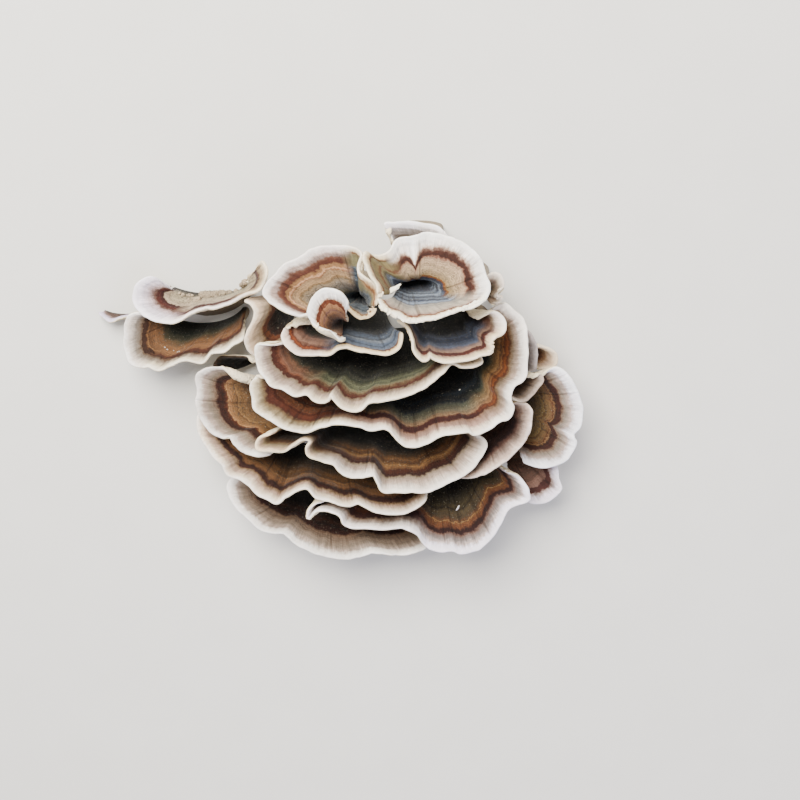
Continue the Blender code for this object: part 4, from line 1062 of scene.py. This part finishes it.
def velvet(name, looks, seed):
    """Turkey tail: silky bands that follow the margin on the upper side, cream pores underneath."""
    material, tree, shader = new_material("turkey_tail_" + name)
    place = add(tree, "TexCoord", output="Object")
    values = {word: add(tree, "Attribute", output="Fac", attribute_name=word) for word in ATTRIBUTES}
    for word, (size, detail) in PATTERNS.items():
        values[word] = add(tree, "TexNoise", {"Vector": place, "Scale": 1 / (size * MM), "Detail": detail})
    for word, (width, length, detail) in RUNS.items():
        across = add(tree, "Math", [values["along"], width], operation="DIVIDE")
        down = add(tree, "Math", [values["from_margin"], length], operation="DIVIDE")
        vector = add(tree, "CombineXYZ", [across, down, seed])
        values[word] = add(tree, "TexNoise", {"Vector": vector, "Scale": 1, "Detail": detail})
    values["pores"] = add(tree, "TexVoronoi", {"Vector": place, "Scale": 1 / (PORE_STEP * MM)})

    # The bands wander by a millimetre or so, and their edges are frayed.
    banded = values["from_margin"]
    for word, stray in (("swing", SWING), ("fray", FRAY)):
        shift = add(tree, "MapRange", [values[word], 0.3, 0.7, -stray, stray])
        banded = add(tree, "Math", [banded, shift], operation="ADD")
    values["reach"] = add(tree, "MapRange", [banded, 0, BAND_REACH, 0, 1])
    for word, step in (("rings", FINE_RING_STEP), ("wide_rings", WIDE_RING_STEP)):
        turn = add(tree, "Math", [banded, 2 * math.pi / step], operation="MULTIPLY")
        values[word] = add(tree, "Math", [turn], operation="SINE")
    # The upper side's painted shade towards the root, deep among the caps.
    low, high = THROAT_SHADES.get(name, THROAT_SHADE)
    fades = {**FADES, "throat_shade": ("out", high, low, 0, 0.95)}
    for word, (source, *limits) in fades.items():
        values[word] = add(tree, "MapRange", [values[source], *limits])

    above = layered(tree, values, banding(tree, values, looks), UPPER_LAYERS)
    beneath = layered(tree, values, linear(PORE_CREAM), UNDER_LAYERS)
    below = values["below"]
    colour = add(tree, "Mix", {0: below, 6: above, 7: beneath}, output=2, data_type="RGBA")

    # Fibres, grain and rings stand up a little, and creases are sunk. The pores are sunk underneath.
    height = values["fibres"]
    for names, amount in HEIGHTS:
        part = amount
        for word in names:
            part = add(tree, "Math", [values[word], part], operation="MULTIPLY")
        height = add(tree, "Math", [height, part], operation="ADD")
    height = add(tree, "Mix", {0: below, 2: height, 3: values["pores"]})
    bump = add(tree, "Bump", {"Strength": 0.7, "Distance": 0.3 * MM, "Height": height})
    tree.links.new(colour, shader.inputs["Base Color"])
    tree.links.new(bump, shader.inputs["Normal"])
    shader.inputs["Roughness"].default_value = 0.78
    shader.inputs["Specular IOR Level"].default_value = 0.2
    shader.inputs["Sheen Weight"].default_value = 0.08
    shader.inputs["Sheen Roughness"].default_value = 0.4
    shader.inputs["Subsurface Weight"].default_value = 0.06
    shader.inputs["Subsurface Radius"].default_value = (1.2 * MM, 0.8 * MM, 0.5 * MM)
    return material


def flesh():
    """Cut flesh: pale, corky and finely fibrous, seen only on the flat cut."""
    material, tree, shader = new_material("cut_fungus_flesh")
    place = add(tree, "TexCoord", output="Object")
    grain = add(tree, "TexNoise", {"Vector": place, "Scale": 1 / (1.11 * MM), "Detail": 4})
    hues = add(tree, "ValToRGB", [grain])
    for stop, position, hue in zip(hues.node.color_ramp.elements, (0.35, 0.65), ("#C9B694", "#E6DABF")):
        stop.position = position
        stop.color = linear(hue)
    bump = add(tree, "Bump", {"Strength": 0.5, "Distance": 0.3 * MM, "Height": grain})
    tree.links.new(hues, shader.inputs["Base Color"])
    tree.links.new(bump, shader.inputs["Normal"])
    shader.inputs["Roughness"].default_value = 0.9
    return material


def floor_material():
    """Plain pale studio paper."""
    material, tree, shader = new_material("pale_studio_paper")
    place = add(tree, "TexCoord", output="Object")
    grain = add(tree, "TexNoise", {"Vector": place, "Scale": 1 / (25 * MM), "Detail": 3})
    hues = add(tree, "ValToRGB", [grain])
    for stop, hue in zip(hues.node.color_ramp.elements, ("#CFCDC8", "#D6D4CF")):
        stop.color = linear(hue)
    tree.links.new(hues, shader.inputs["Base Color"])
    shader.inputs["Roughness"].default_value = 0.95
    return material


def put(name, data):
    """A new object in the scene."""
    item = bpy.data.objects.new(name, data)
    bpy.context.collection.objects.link(item)
    return item


def aim(item, place, target):
    """Puts an object at a place, turned towards a target."""
    item.location = place
    item.rotation_euler = (Vector(target) - Vector(place)).to_track_quat("-Z", "Y").to_euler()


def soft_light(name, place, size, power, hue):
    """A large square light."""
    data = bpy.data.lights.new(name, "AREA")
    data.size = size
    data.energy = power
    data.color = linear(hue)[:3]
    aim(put(name, data), place, (0, 0, 0.02))


def studio():
    """The floor that the cut rests on, and soft light from above and to the left."""
    bm = bmesh.new()
    bmesh.ops.create_grid(bm, x_segments=1, y_segments=1, size=3)
    mesh = bpy.data.meshes.new("studio_floor")
    bm.to_mesh(mesh)
    bm.free()
    floor = put("studio_floor", mesh)
    mesh.materials.append(floor_material())
    soft_light("sky", (-0.3, 0.75, 0.8), 0.7, 54, "#FFFBF2")
    soft_light("fill", (0.45, -0.5, 0.7), 1.0, 10, "#E8E8FF")
    world = bpy.data.worlds.new("studio_air")
    bpy.context.scene.world = world
    world.use_nodes = True
    world.node_tree.nodes["Background"].inputs[0].default_value = linear("#EDF0F4")
    world.node_tree.nodes["Background"].inputs[1].default_value = 0.55


def camera():
    """The photo's view: onto the cut's plane, tilted down from above."""
    data = bpy.data.cameras.new("photo_view")
    data.sensor_width = 36
    data.lens = data.sensor_width * VIEW_DISTANCE / VIEW_WIDTH
    item = put("photo_view", data)
    back = Vector((0, math.sin(VIEW_TILT), math.cos(VIEW_TILT)))
    up = Vector((0, math.cos(VIEW_TILT), -math.sin(VIEW_TILT)))
    turned = Matrix((up.cross(back), up, back)).transposed().to_4x4()
    turned.translation = Vector((0, 0, VIEW_HEIGHT * MM)) + back * VIEW_DISTANCE * MM
    item.matrix_world = turned
    bpy.context.scene.camera = item


FLESH = flesh()
for number, each in enumerate(CAPS):
    make_cap(each, 100 * (number + 1))
studio()
camera()
